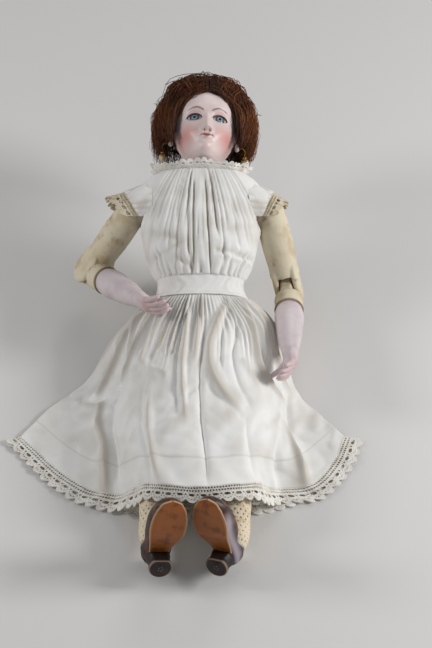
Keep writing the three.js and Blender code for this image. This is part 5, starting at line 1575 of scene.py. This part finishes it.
@dataclass
class Wig:
    """Bushy bob of mohair strands parted in the middle, over a cap that hugs the head."""

    strands: int = 1500
    layers: int = 3
    steps: int = 18
    locks: int = 70
    middle: float = 47
    half_width: float = 34.6
    rise: float = 37.6
    drop: float = 43.5
    back: float = 34
    crown: float = 0.46
    hairline: float = 64.5
    window: float = 24.2
    arch: float = 28
    thread: float = 0.3
    seed: int = 11
    stray: int = 150
    cap_grid: tuple[int, int] = (70, 90)
    nape: float = 30

    def lines(self, seed: int) -> Pair:
        """Centre lines of one layer of strands.

        A strand starts on the crown, runs to its own place between the forehead and the nape, then falls
        over one side of the head: across is half width times sine, up is rise times cosine, for an angle
        that grows along it. The foremost follow the hairline's arch. Strands are drawn together in locks
        that wave with a phase of their own, and frizz toward their tips.

        Returns:
            Points (strands, steps, 3) in the head's frame and the tone of every point, painted highlight
            included.
        """
        draw = np.random.default_rng(seed)
        n = self.strands
        lock = draw.integers(0, self.locks, n)
        own = draw.random((self.locks, 6))[lock]
        side = np.where(own[:, :1] < 0.5, -1.0, 1.0)
        w = np.linspace(0, 1, self.steps)[None, :]
        goal = np.clip(own[:, 1:2] ** 1.15 + 0.05 * draw.normal(0, 1, (n, 1)), 0, 1)
        t = self.crown + (goal - self.crown) * (0.25 + 0.75 * ease(0, 0.4, w))
        deep = np.clip(own[:, 2:3] ** 0.6 + 0.12 * draw.normal(0, 1, (n, 1)), 0, 1)
        first = np.radians(np.clip(42 * own[:, 5:6] ** 1.6 + draw.normal(0, 6, (n, 1)), 0.5, 60))
        past = (7 + 13 * ease(0.12, 0.4, goal)) * own[:, 3:4]
        last = np.radians(92 + past + draw.uniform(-5, 7, (n, 1)))
        alpha = first + (last - first) * np.clip((w - 0.34) / 0.66, 0, 1)
        open_out = ease(0, 0.28, t)
        close = np.sqrt(np.clip(1 - np.square(np.clip((t - 0.55) / 0.47, 0, 1)), 0.02, 1))
        wide = (self.window / self.half_width + (0.04 + 0.26 * deep) * open_out) * close
        high = (self.arch / self.rise + (0.05 + 0.21 * deep) * open_out) * np.maximum(close, 0.45)
        level = self.hairline - self.arch + (self.middle - self.hairline + self.arch) * open_out
        front = -29 + 9 * np.sin(np.minimum(alpha, math.pi / 2)) ** 1.6
        y = front + (self.back - front) * t
        spread = 1 - ease(0.72, 1, t) * (1 - draw.uniform(-0.4, 1, (n, 1)))
        x = side * self.half_width * wide * spread * np.sin(alpha) ** (1.15 - 0.3 * open_out)
        tall = np.where(alpha < math.pi / 2, self.rise * high, self.drop + 6 * open_out)
        z = level + tall * np.cos(alpha)
        turn = math.tau * (1.9 * w + own[:, 4:5])
        wave = ease(0.1, 0.5, w) * np.sin(turn)
        sway = ease(0.1, 0.5, w) * np.cos(turn)
        frizz = np.cumsum(draw.normal(0, 0.32, (n, self.steps, 3)), axis=1)
        root = draw.normal(0, 1, (n, 1, 3)) * np.array([4.0, 3.0, 1.2]) * (1 - w[..., None]) ** 2
        free = 0.35 + 0.65 * open_out
        points = stacked(x + side * 2.4 * wave * free, y + 2.8 * sway * free, z + 0.9 * wave) + frizz + root
        # each lock's and strand's own random tone, plus painted highlight: outer strands lighter, most
        # toward their tips, and lighter again on the crests of their waves
        tint_and_highlight = 0.05 + 0.5 * own[:, 4:5] * own[:, 2:3] + 0.22 * draw.random((n, 1)) + 0.28 * w * deep
        return points, np.clip(tint_and_highlight + 0.12 * wave, 0, 1)

    def wisps(self) -> Pair:
        """Stray strands that stand off the crown and the sides."""
        draw = np.random.default_rng(self.seed + 50)
        points, tint_and_highlight = (some[: self.stray] for some in self.lines(self.seed + 51))
        w = np.linspace(0, 1, self.steps)[None, :, None]
        out = points - np.array([0, 2, self.middle - 8])
        out /= np.linalg.norm(out, axis=2, keepdims=True)
        stand = draw.uniform(0.6, 2.4, (self.stray, 1, 1)) * np.sin(math.pi * np.clip(w * 1.1, 0, 1)) ** 1.2
        return points + out * stand, np.clip(tint_and_highlight + 0.15, 0, 1)

    def build_cap(self, head: Head, hair: Material) -> None:
        """The wig's cap: the head let out, without the part inside the face's window; its near-black colour
        is painted shade deep in the hair.
        """
        rows, columns = self.cap_grid
        points, facing = head.shell(rows, columns, 0.2, 1.2)
        verts = points.reshape(-1, 3)
        x, level = verts[:, 0], verts[:, 2]
        arch = self.hairline - self.arch * (1 - np.sqrt(np.clip(1 - np.square(x / self.window), 0, 1)))
        face = (facing.ravel() > 0.1) & (np.abs(x) < self.window) & (level < arch)
        faces = grid_faces(rows, columns, wrap=True)
        faces = faces[~(face | (level < self.nape))[faces].any(axis=1)]
        made = mesh_object("wig_cap", POSE.neck().row(verts), faces, closed=False)
        # painted shade: the cap's near-black tone stands for the shade deep among the strands
        paint(made, "tone", np.full(len(verts), 0.06))
        thicken(made, 0.6, -1)
        dress(made, hair, "wig", "swivel_head")

    def build(self, head: Head, hair: Material) -> None:
        """Make the cap, the layers of strands and the wisps."""
        self.build_cap(head, hair)
        batches = [self.lines(self.seed + layer) for layer in range(self.layers)] + [self.wisps()]
        taper = self.thread * (1 - 0.65 * np.linspace(0, 1, self.steps) ** 2)[None, :]
        for number, (points, tint_and_highlight) in enumerate(batches):
            verts, faces = tube_parts(points, taper, 3, np.array([0.31, 0.83, 0.46]))
            made = mesh_object(f"wig_strands_{number}", POSE.neck().row(verts), faces)
            paint(made, "tone", np.repeat(tint_and_highlight.ravel(), 3))
            dress(made, hair, "wig", "swivel_head")


# Body


@dataclass
class Trunk:
    """Stuffed kid torso under the dress and the bisque shoulder plate that the neck turns in."""

    torso: tuple = (
        (-14, 26, 14, 14), (-4, 35, 21, 20), (16, 37, 22, 21), (42, 27, 20, 17.5), (68, 32, 22.4, 18),
        (82, 32.6, 20.5, 16.6), (90, 30, 16, 13.5),
    )
    plate: tuple = (
        (74, 34.6, 25.2, 20.2), (84, 35, 23.4, 19.6), (94, 34.4, 19.6, 18), (102, 29, 17.2, 16.6),
        (107, 22.5, 16.8, 16.8), (110, 18.8, 17, 17),
    )
    wall: float = 2.2
    bend: Span = (14, 34)

    def rings(self, table: tuple, rows: int, columns: int) -> Array:
        """Oval rings through a whole table, in the row frame."""
        return POSE.body().row(oval_rings(table, (table[0][0], table[-1][0]), rows, columns))

    def build(self, kid: Material, bisque: Material) -> None:
        """Make the torso and the shoulder plate."""
        body = mesh_object("kid_torso", *loft_parts(self.rings(self.torso, 60, 90)))
        dress(body, kid, "torso")
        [spine(level) for level in self.bend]
        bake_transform(body)
        plate = surface("bisque_shoulder_plate", self.rings(self.plate, 50, 100), wrap=True)
        thicken(plate, self.wall, -1)
        dress(plate, bisque, "shoulder_plate", "trunk")


@dataclass
class Arm:
    """Kid upper arm forked at the elbow, kid cuff with its tongue, and bisque forearm with its hand."""

    side: Side
    root_reach: float = 34.5
    root_radius: float = 8.6
    elbow_radius: float = 9.6
    tongue: float = 4.3
    cheek: float = 2.4
    cheek_place: float = 7.1
    cuff_length: float = 23
    binding: Triple = (9.5, 0.75, 0.9)
    palm: Triple = (7.8, 4.9, 10.0)
    finger_length: float = 16
    finger_radius: float = 2.35
    thumb_radius: float = 2.4

    def limb(self, rows: Sequence[Span], frame: Frame) -> Pair:
        """Closed round limb through rows of level and radius, from low to high, in the row frame."""
        table = np.array(rows, dtype=float)
        level = np.linspace(table[0, 0], table[-1, 0], 40)
        radius = smooth_rows(table[:, 0], table[:, 1], level)[:, None]
        angle = round_angles(48)
        rings = stacked(radius * np.cos(angle), radius * np.sin(angle), level[:, None])
        return frame.carry(loft_parts(rings))

    def finger(self, base: Array, direction: Array, curl: float, length: float, radius: float) -> Pair:
        """Finger bent toward the palm: an arc of the given curl and length, swept by a tapering round.

        Args:
            base: its root in the hand's frame.
            direction: its heading at the root.
            curl: angle of the arc in radians.
            length: length of the arc.
            radius: radius at the root.

        Returns:
            Vertices and faces in the hand's frame.
        """
        t = np.linspace(0, 1, 12)
        unit = direction / np.linalg.norm(direction)
        path = base + np.outer(np.sin(curl * t) / curl, length * unit)
        path[:, 1] -= length * (1 - np.cos(curl * t)) / curl
        tip = np.sqrt(np.clip(1 - np.clip((t - 0.86) / 0.15, 0, 1) ** 2, 0.05, 1))
        taper = radius * (1 - 0.28 * t) * tip
        return tube_parts(path[None], taper[None], 12, np.array([1.0, 0.02, 0.03]))

    def disc(self, across: float, level: float, half: float, radius: float, dome: float) -> Pair:
        """Round plate on the elbow's hinge: half thickness times sine, radius times cosine, each to a power.

        Args:
            across: place of its middle along the hinge.
            level: place of its middle along the arm.
            half: half its thickness.
            radius: its radius.
            dome: power on the side away from the arm's middle; a larger one domes it.

        Returns:
            Vertices and faces in the arm's frame.
        """
        slope = np.linspace(-math.pi / 2, math.pi / 2, 17)
        outer = slope * (across if across else 1) > 0
        power = np.where(outer, dome, 0.3)
        x = across + half * np.sign(slope) * np.abs(np.sin(slope)) ** power
        ring = np.maximum(radius * np.abs(np.cos(slope)) ** power, 0.05)[:, None]
        angle = round_angles(48)
        return loft_parts(stacked(x[:, None], ring * np.cos(angle), level + ring * np.sin(angle)))


    def dress(self, made: Object, material: Material, node: str, slot: str, body: str) -> None:
        """Give a piece its finish, and this side's node and body."""
        dress(made, material, f"{node}_{self.side.label}", f"{body}_{self.side.label}")

    def build_upper(self, kid: Material) -> None:
        """Upper arm: a stuffed tube from the shoulder to the fork, melted with the fork's two cheeks."""
        frame = POSE.arm(self.side)
        end = -POSE.upper_arm
        shaft = self.limb([(end + 9.7, 10.0), (end + 10.6, 10.3), (end + 16, 10.2), (end / 2, 10.9),
                           (-6, 10.6), (3, 9.6), (8, 6.6), (10, 2.5)], frame)
        cheeks = [self.disc(sign * self.cheek_place, end + lift, self.cheek, self.elbow_radius, 0.75)
                  for sign in (1, -1) for lift in (0.0, 5.5, 11.0)]
        for turn, along in ((35.0, 5.4), (-22.0, 3.2)):
            tilt = turn_x(-turn)
            lip, faces = ball_parts((0, 0, 0), (self.cheek_place, along, 2.5), 14, 22)
            above_fork = tilt @ np.array([0, 0, self.elbow_radius + 2.6])
            cheeks.append((lip @ tilt.T + above_fork + np.array([0, 0, end]), faces))
        inward = 0.5 * self.side.value * (self.root_reach - POSE.shoulder_reach)
        place = (self.side.value * POSE.shoulder_reach + inward, 0, POSE.shoulder_level)
        root = ball_parts((0, 0, 0), (self.root_radius,) * 3, 18, 26)
        parts = [shaft, *map(frame.carry, cheeks), POSE.body().within(place).carry(root)]
        made = fused(f"kid_upper_arm_{self.side.label}", parts, 0.55, 4)
        across, depth, level = frame.local(vertices_of(made)).T
        seam = bell(np.abs(across) - 0.2, 0.35) * (depth > 0) * ease(end + 8, end + 14, level)
        slit = 0.7 * bell(np.abs(across) - self.tongue - 0.4, 0.5) * (1 - ease(end + 8, end + 11, level))
        paint(made, "seam", 0.8 * np.clip(seam + slit, 0, 1))
        self.dress(made, kid, "upper_arm", "kid", "arm")

    def build_cuff(self, kid: Material) -> None:
        """Cuff: a tube with a rounded tongue that turns in the fork."""
        frame = POSE.elbow(self.side)
        low = -self.cuff_length
        tube = self.limb([(low, 9.3), (low + 6, 9.9), (-12, 9.8), (-10.4, 9.0)], frame)
        radius = self.elbow_radius - 0.3
        tongue = [self.disc(0, -lift, self.tongue, radius, 0.3) for lift in (0.0, 4.0, 8.0)]
        made = fused(f"kid_cuff_{self.side.label}", [tube, *map(frame.carry, tongue)], 0.5, 3)
        across, _, level = frame.local(vertices_of(made)).T
        end = 0.7 * bell(level - low, 0.9)
        paint(made, "seam", end + 0.5 * bell(np.abs(across) - self.tongue, 0.5) * ease(-9, -6, level))
        self.dress(made, kid, "elbow_cuff", "kid", "hand")

    def build_binding(self, kid: Material) -> None:
        """The cuff's bound end: a ring of oval section."""
        reach, thick, tall = self.binding
        angle = round_angles(60)
        ring = np.append(round_angles(12), 0.0)[:, None]
        out = reach + thick * np.cos(ring)
        level = -self.cuff_length - 1.0 + tall * np.sin(ring)
        points = stacked(out * np.cos(angle), out * np.sin(angle), level)
        made = surface(f"kid_binding_{self.side.label}", POSE.elbow(self.side).row(points), wrap=True)
        paint(made, "seam", np.full(points.shape[:2], 0.75))
        self.dress(made, kid, "cuff_binding", "kid", "hand")

    def build_forearm(self, bisque: Material) -> None:
        """Forearm, palm, four fingers and a thumb melted into one bisque casting."""
        frame = POSE.elbow(self.side)
        hand = frame.within((0, 0, 0), turn_z(HAND_TWIST[self.side]))
        sign = self.side.value
        start = -POSE.forearm
        arm = self.limb([(start - 3, 5.2), (start, 5.7), (start + 5, 6.4), (start + 14, 8.0), (-44, 9.4),
                         (-34, 10.2), (-28, 9.8), (-23.6, 9.0)], frame)
        wide, deep, long = self.palm
        parts = [ball_parts((0, 0, start - 6.5), (wide, deep, long), 20, 28)]
        knuckle = start - 13.2
        for t in np.linspace(-1, 1, 4):
            base = np.array([t * (wide - 2.2), 0.4, knuckle + 0.8 - 0.8 * (1 - t * t)])
            parts.append(self.finger(base, np.array([0.12 * t, 0, -1]), 1.3 - 0.2 * t * sign,
                                     self.finger_length - 2 * t * t, self.finger_radius))
        thumb = np.array([-sign * (wide - 2), -1, start - 3])
        heading = np.array([-sign * 0.45, -0.35, -0.8])
        parts.append(self.finger(thumb, heading, 0.7, self.finger_length, self.thumb_radius))
        made = fused(f"bisque_forearm_{self.side.label}", [arm, *map(hand.carry, parts)], 0.48, 3)
        _, depth, level = hand.local(vertices_of(made)).T
        tips = 1 - ease(start - 20, start - 12, level)
        knuckles = bell(level - knuckle, 3.5) * (depth > 0)
        ring = 0.22 * bell(level - start - 1.5, 0.8)
        paint(made, "blush", np.clip(0.35 * tips + 0.55 * knuckles + ring, 0, 0.8))
        self.dress(made, bisque, "forearm", "bisque", "hand")

    def build(self, kid: Material, bisque: Material) -> None:
        """Make the upper arm, the cuff with its binding and the forearm."""
        self.build_upper(kid)
        self.build_cuff(kid)
        self.build_binding(kid)
        self.build_forearm(bisque)


@dataclass
class Leg:
    """Stuffed kid leg in an openwork stocking and a heeled leather shoe."""

    side: Side
    rows: tuple = (
        (-171, 2, 2, 2), (-167, 5.4, 5.4, 5.6), (-158, 8.4, 8.4, 8.8), (-144, 9.4, 9.4, 10),
        (-108, 13.6, 13, 14.6), (-84, 14.4, 15, 14.6), (-42, 17, 18.5, 18.5), (-12, 19, 22, 22),
        (6, 18, 20, 20), (14, 12, 14, 14), (18, 4, 5, 5),
    )
    stocking: Span = (-168, -72)
    stocking_grid: tuple[int, int] = (152, 128)
    knit: float = 0.7
    yarn: float = 0.4
    lozenge: Span = (8, 9.7)
    heel: float = 11
    heel_radius: float = 7.6
    breast: float = 5.6
    lift: float = 10
    sole: float = 1.9
    heel_rows: tuple = (
        (0.0, 6.6), (0.05, 7.2), (0.7, 7.6), (2.0, 7.6), (2.2, 7.2), (4.5, 6.9), (8.0, 7.4), (10.4, 8.0),
    )
    outline: tuple = (
        (-50, 1.0), (-48.6, 4.8), (-45, 8.2), (-38, 10.9), (-30, 11.8), (-22, 11.0), (-12, 8.6), (-4, 6.8),
        (2, 6.2), (7, 5.8), (9.6, 4), (10.6, 0.6),
    )
    upper: tuple = (
        (-49.6, 0.1, 4.2, 4.5), (-48.6, 2.6, 2.6, 6.6), (-45, 6.8, 2.4, 10.4), (-38, 9.6, 2.2, 15),
        (-30, 10.8, 2.4, 18.6), (-22, 10.4, 3.4, 22.0), (-12, 9.4, 7.0, 25.0), (-2, 9.2, 10.6, 27.5),
        (6, 8.8, 12, 27.5), (11, 6.4, 12.4, 26), (13, 2.4, 14, 24),
    )
    hide: float = 1.0
    topline: float = 23.5
    vamp: float = -21


    def dress(self, made: Object, material: Material, node: str, slot: str) -> None:
        """Give a piece its finish and this side's node, and let it ride the seat."""
        dress(made, material, f"{node}_{self.side.label}", "seat")

    def build_leg(self, kid: Material) -> None:
        """The stuffed leg."""
        rings = oval_rings(self.rows, (self.rows[0][0], self.rows[-1][0]), 90, 60)
        made = mesh_object(f"kid_leg_{self.side.label}", *loft_parts(POSE.leg(self.side).row(rings)))
        self.dress(made, kid, "leg", "kid")

    def build_stocking(self, yarn: Material) -> None:
        """The ribbed stocking, with lozenges cut out where two slanted waves add up to more than 1."""
        rows, columns = self.stocking_grid
        points = oval_rings(self.rows, self.stocking, rows, columns, self.knit)
        v, u = np.meshgrid(np.arange(rows), np.arange(columns), indexing="ij")
        wide, tall = self.lozenge
        waves = np.cos(math.tau * (u / wide + v / tall)) + np.cos(math.tau * (u / wide - v / tall))
        hole = (waves > 1.0).ravel()
        rib = 0.07 * np.cos(math.tau * u / 4)
        out = points * np.array([1, 1, 0])
        out /= np.linalg.norm(out, axis=2, keepdims=True)
        verts = (points + out * rib[..., None]).reshape(-1, 3)
        faces = grid_faces(rows, columns, wrap=True)
        faces = faces[~hole[faces].all(axis=1)]
        skin = POSE.leg(self.side).row(verts)
        made = mesh_object(f"knit_stocking_{self.side.label}", skin, faces, closed=False)
        thicken(made, self.yarn)
        self.dress(made, yarn, "stocking", "stocking")
        flat = flat_size(made, self.stocking[1] - self.stocking[0])

    def build_sole(self, leather: Material) -> None:
        """The sole: the outline's half width along the shoe, arched up to the heel, with a rounded edge."""
        table = np.array(self.outline)
        y = np.linspace(table[0, 0], table[-1, 0], 120)[:, None]
        half = np.maximum(smooth_rows(table[:, 0], table[:, 1], y), 0.4)
        rise = self.lift * ease(-26, 0, y) + 1.2 * ease(40, 50, -y)
        angle = round_angles(48)
        across = signed_power(np.cos(angle), 0.3)
        up = signed_power(np.sin(angle), 0.6)
        rings = stacked(half * across, y, rise + self.sole / 2 + self.sole / 2 * up)
        made = mesh_object(f"leather_sole_{self.side.label}", *loft_parts(POSE.shoe(self.side).row(rings)))
        paint(made, "trim", np.broadcast_to(0.75 * ease(0.86, 0.98, np.abs(across)), rings.shape[:2]))
        self.dress(made, leather, "shoe_sole", "sole_leather")

    def build_heel(self, leather: Material) -> None:
        """The stacked heel: a turned block with a flat breast, a pale rim of wear and five nails."""
        level, size = np.array(self.heel_rows)[..., None].transpose(1, 0, 2)
        middle = self.heel - self.heel_radius
        angle = round_angles(72)
        breast = np.maximum(size * np.sin(angle), -self.breast) + middle
        parts = [loft_parts(stacked(size * np.cos(angle), breast, level))]
        for turn in round_angles(5):
            centre = (1.5 * math.cos(turn), 1.5 * math.sin(turn) + middle + 0.6, 0.0)
            parts.append(ball_parts(centre, (0.45, 0.45, 0.3), 5, 10))
        verts, faces = join_parts(parts)
        made = mesh_object(f"leather_heel_{self.side.label}", POSE.shoe(self.side).row(verts), faces)
        rim = (verts[:, 2] > 0.02) & (verts[:, 2] < 0.8)
        nails = np.arange(len(verts)) >= len(parts[0][0])
        paint(made, "trim", np.where(nails, 0.55, 0.8 * rim))
        self.dress(made, leather, "shoe_heel", "shoe_leather")

    def build_upper(self, leather: Material) -> None:
        """The upper: rings along the foot, open above the topline behind the vamp, with a pale edge and, on
        the left shoe, a painted highlight low along its outer side.
        """
        table = np.array(self.upper)
        rows, columns = 130, 110
        at = np.linspace(table[0, 0], table[-1, 0], rows)
        along, half, low, high = smooth_rows(table[:, 0], table, at).T[..., None]
        angle = round_angles(columns)
        across = signed_power(np.cos(angle), np.where(np.sin(angle) < 0, 0.5, 0.9))
        rings = stacked(half * across, along, (low + high) / 2 + (high - low) / 2 * np.sin(angle))
        verts = rings.reshape(-1, 3)
        x, y, z = verts.T
        brim = self.topline - 7.5 * bell(y + 9, 9)
        throat = self.vamp + 3.5 * np.square(x / 8)
        faces = grid_faces(rows, columns, wrap=True)
        faces = faces[~((z > brim) & (y > throat))[faces].any(axis=1)]
        skin = POSE.shoe(self.side).row(verts)
        made = mesh_object(f"leather_upper_{self.side.label}", skin, faces, closed=False)
        near = np.minimum(np.abs(z - brim) + 20 * (y < self.vamp - 1), np.abs(y - throat) + 20 * (z < brim))
        outer = self.side.value * x
        # painted highlight: a pale band low along the left shoe's outer side, where light glints on the
        # leather
        worn = 0.75 * ease(0.55, 0.9, outer / 9) * bell(z - 6 - 8 * ease(-26, 4, y), 3.4)
        worn = worn * ease(-40, -30, y) * (self.side is Side.LEFT)
        paint(made, "trim", np.maximum(bell(near, 0.9), worn))
        thicken(made, self.hide)
        self.dress(made, leather, "shoe_upper", "shoe_leather")

    def build_rosette(self, leather: Material) -> None:
        """The rosette on the vamp: two rings of small loops round a button."""
        place = POSE.shoe(self.side).within((0, self.vamp - 4.5, 22.6), turn_x(24))
        turn = round_angles(9)[:, None]
        loop = np.linspace(0, math.tau, 11)
        paths = []
        for reach, height in ((4.6, 0.2), (3.1, 1.2)):
            out = reach * (0.55 + 0.45 * np.cos(loop))
            side = 1.25 * np.sin(loop)
            paths.append(stacked(
                np.cos(turn) * out - np.sin(turn) * side,
                np.sin(turn) * out + np.cos(turn) * side,
                height + 0.5 * np.sin(loop / 2),
            ))
        loops = tube_parts(np.concatenate(paths), 0.55, 6, np.array([0.1, 0.13, 1.0]))
        button = ball_parts((0, 0, 1.7), (1.6, 1.6, 1.0), 10, 16)
        verts, faces = join_parts([loops, button])
        made = mesh_object(f"leather_rosette_{self.side.label}", place.row(verts), faces)
        paint(made, "trim", np.where(np.arange(len(verts)) >= len(loops[0]), 0.8, 0.25))
        self.dress(made, leather, "shoe_rosette", "shoe_leather")

    def build(self, kid: Material, yarn: Material, hide: Material, sole: Material, stack: Material) -> None:
        """Make the leg, the stocking and the shoe's parts.

        Args:
            kid: finish of the leg.
            yarn: finish of the stocking.
            hide: finish of the shoe's upper and rosette.
            sole: finish of its sole.
            stack: finish of its heel.
        """
        self.build_leg(kid)
        self.build_stocking(yarn)
        self.build_sole(sole)
        self.build_heel(stack)
        self.build_upper(hide)
        self.build_rosette(hide)


@dataclass
class Earring:
    """Gilt wire, small bead and pearl that hang straight down from the ear's lobe."""

    side: Side
    drop: float = 13
    pearl: float = 3.1
    bead: float = 1.8
    wire: float = 0.45
    lobe: Triple = (24.0, -3.8, 33.0)

    def build(self, gilt: Material, pearl: Material) -> None:
        """Make the wire, the bead and the pearl."""
        label = self.side.label
        across, depth, level = self.lobe
        hook = POSE.neck().row(np.array([self.side.value * across, depth, level]))
        reach = self.side.value * (2.4 + self.pearl - 0.4)
        foot = -self.drop - 3.6
        bends = [(0, 0, 0), (0.7 * reach, 0, 0.9), (reach, 0, -1.2), (reach, 0, -6), (reach, 0, foot)]
        line = spaced(bends, 40) + hook
        wire = tube_parts(line[None], self.wire, 8, np.array([0.02, 1.0, 0.03]))
        above_pearl = hook + [reach, 0, -self.drop + self.pearl + self.bead]
        bead = ball_parts(above_pearl, (self.bead,) * 3, 20, 28)
        ball = ball_parts(hook + [reach, 0, -self.drop], (self.pearl,) * 3, 28, 36)
        for name, part, material, slot in (
            ("wire", wire, gilt, "gilt"), ("bead", bead, gilt, "gilt"), ("pearl", ball, pearl, "pearl"),
        ):
            made = mesh_object(f"drop_{name}_{label}", *part)
            dress(made, material, f"earring_{name}_{label}", f"earring_{label}")


# Studio


@dataclass(frozen=True)
class Lamp:
    """A square area lamp: its place and side in millimetres and its power in watts."""

    name: str
    place: Triple
    size: float
    power: float

    def hang(self, target: Sequence[float]) -> None:
        """Make the lamp, facing a target in millimetres."""
        data = bpy.data.lights.new(self.name, "AREA")
        data.shape = "SQUARE"
        data.size = self.size * MM
        data.energy = self.power
        made = bpy.data.objects.new(self.name, data)
        made.location = Vector(self.place) * MM
        made.rotation_euler = (Vector(target) - Vector(self.place)).to_track_quat("-Z", "Y").to_euler()
        bpy.context.scene.collection.objects.link(made)


@dataclass
class Studio:
    """Pale floor, soft light and the camera."""

    target: Triple = (10.7, 45, 0)
    elevation: float = 47
    distance: float = 1500
    lens: float = 116.67
    sensor: float = 36
    far: float = 20
    floor: Colour = tone(214, 212, 210)
    floor_half: float = 3000
    lit: Triple = (0, 0, 40)
    lamps: tuple[Lamp, ...] = (
        Lamp("key", (1000, -120, 600), 340, 9.5),
        Lamp("second", (-1000, -40, 640), 340, 5),
        Lamp("fill", (0, -1100, 1000), 900, 1.4),
        Lamp("rim", (300, 1000, 900), 700, 3),
    )
    air: Colour = (0.94, 0.96, 1.0)
    air_strength: float = 0.19

    def build_floor(self) -> None:
        """A wide floor under the doll."""
        corners = [[-1, -1, 0], [1, -1, 0], [1, 1, 0], [-1, 1, 0]]
        verts = self.floor_half * np.array(corners)
        made = mesh_object("floor", verts, np.array([[0, 1, 2, 3]]), closed=False)
        made.data.materials.append(Shader("floor", 0.9, 0.2).colour(self.floor))


    def build_world(self) -> None:
        """Dim, even, slightly cool light from all round."""
        world = bpy.data.worlds.new("studio")
        world.use_nodes = True
        bpy.context.scene.world = world
        air = world.node_tree.nodes["Background"].inputs
        air["Color"].default_value = (*self.air, 1.0)
        air["Strength"].default_value = self.air_strength

    def build_camera(self) -> None:
        """Camera on a ray from the target at its elevation, looking back at it."""
        data = bpy.data.cameras.new("camera")
        data.lens = self.lens
        data.sensor_width = self.sensor
        data.clip_end = self.far
        made = bpy.data.objects.new("camera", data)
        tilt = math.radians(self.elevation)
        ray = Vector((0, -math.cos(tilt), math.sin(tilt)))
        made.location = (Vector(self.target) + ray * self.distance) * MM
        made.rotation_euler = (-ray).to_track_quat("-Z", "Y").to_euler()
        bpy.context.scene.collection.objects.link(made)
        bpy.context.scene.camera = made

    def build(self) -> None:
        """Make floor, world, lamps and camera."""
        self.build_floor()
        self.build_world()
        for lamp in self.lamps:
            lamp.hang(self.lit)
        self.build_camera()
        bpy.context.scene.view_settings.view_transform = "Standard"


@dataclass
class Doll:
    """The whole doll: finishes, sub-assemblies and the plain CAD nodes that stay."""

    head: Head = field(default_factory=Head)
    hardware: dict[str, Plain] = field(default_factory=lambda: {
        "cork": Plain("cork", tone(150, 112, 72), tone(110, 78, 48), 0.9),
        "steel": Plain("steel", tone(150, 150, 152), tone(110, 108, 106), 0.35, 1.0),
        "beech": Plain("beech", tone(186, 146, 98), tone(160, 118, 76), 0.6),
        "china": Plain("china", tone(224, 220, 212), tone(206, 198, 186), 0.25, 0.0, 0.3),
        "kid": Plain("kid_lining", tone(204, 186, 150), tone(170, 142, 102), 0.7),
    })

    def build_dress(self) -> None:
        """Make the dress and its lace."""
        cotton = Cotton().make()
        white = Thread("lace", tone(230, 227, 220), tone(212, 205, 194)).make()
        ecru = Thread("lace_ecru", tone(214, 204, 182), tone(186, 170, 142)).make()
        Skirt().build(cotton, white)
        Bodice().build(cotton, white)
        for side, tip, fall in ((Side.LEFT, 51.0, 38.0), (Side.RIGHT, 54.5, 22.0)):
            Sleeve(side, tip, fall).build(cotton, ecru)

    def build_body(self) -> None:
        """Make head, wig, trunk, limbs, shoes and earrings."""
        kid = Kid().make()
        limb = LIMB.make()
        yarn = Knit().make()
        hide = Leather("shoe_leather", tone(52, 32, 26), tone(98, 60, 42), tone(190, 180, 190)).make()
        tan = (tone(152, 88, 38), tone(116, 64, 28), tone(196, 160, 122))
        sole = Leather("sole_leather", *tan, 0.5).make()
        black = (tone(30, 21, 17), tone(50, 33, 26), tone(150, 128, 112))
        stack = Leather("heel_leather", *black, 0.55).make()
        gilt = Plain("gilt", tone(206, 160, 84), tone(170, 120, 60), 0.25, 1.0).make()
        pearl = Plain("pearl", tone(222, 206, 180), tone(206, 180, 140), 0.2, 0.0, 0.6).make()
        self.head.build(FACE.make(), EyeGlass().make())
        Wig().build(self.head, Hair().make())
        Trunk().build(kid, limb)
        for side in Side:
            Arm(side).build(kid, limb)
            Leg(side).build(kid, yarn, hide, sole, stack)
            Earring(side).build(gilt, pearl)

    def finish_hardware(self, nodes: dict) -> None:
        """Give the CAD nodes that stay their own procedural finish."""
        made = {slot: finish.make() for slot, finish in self.hardware.items()}
        kept = {
            "pate": "cork", "neck_rod": "steel", "neck_spring": "steel", "neck_washer": "beech",
            "neck_toggle": "beech", "neck_lining": "kid",
        }
        kept |= {f"back_button_{number}": "china" for number in (1, 2, 3)}
        for name, slot in kept.items():
            nodes[name].data.materials.clear()
            nodes[name].data.materials.append(made[slot])

    def build(self, nodes: dict) -> None:
        """Make everything."""
        self.build_dress()
        LOG.info("dress made")
        self.build_body()
        LOG.info("body made")
        self.finish_hardware(nodes)


def main() -> None:
    """Load the frame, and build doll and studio."""
    logging.basicConfig(level=logging.INFO, format="%(name)s: %(message)s")
    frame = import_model()
    Doll().build(frame["nodes"])
    Studio().build()
    LOG.info("sizes written")


if __name__ == "__main__":
    main()
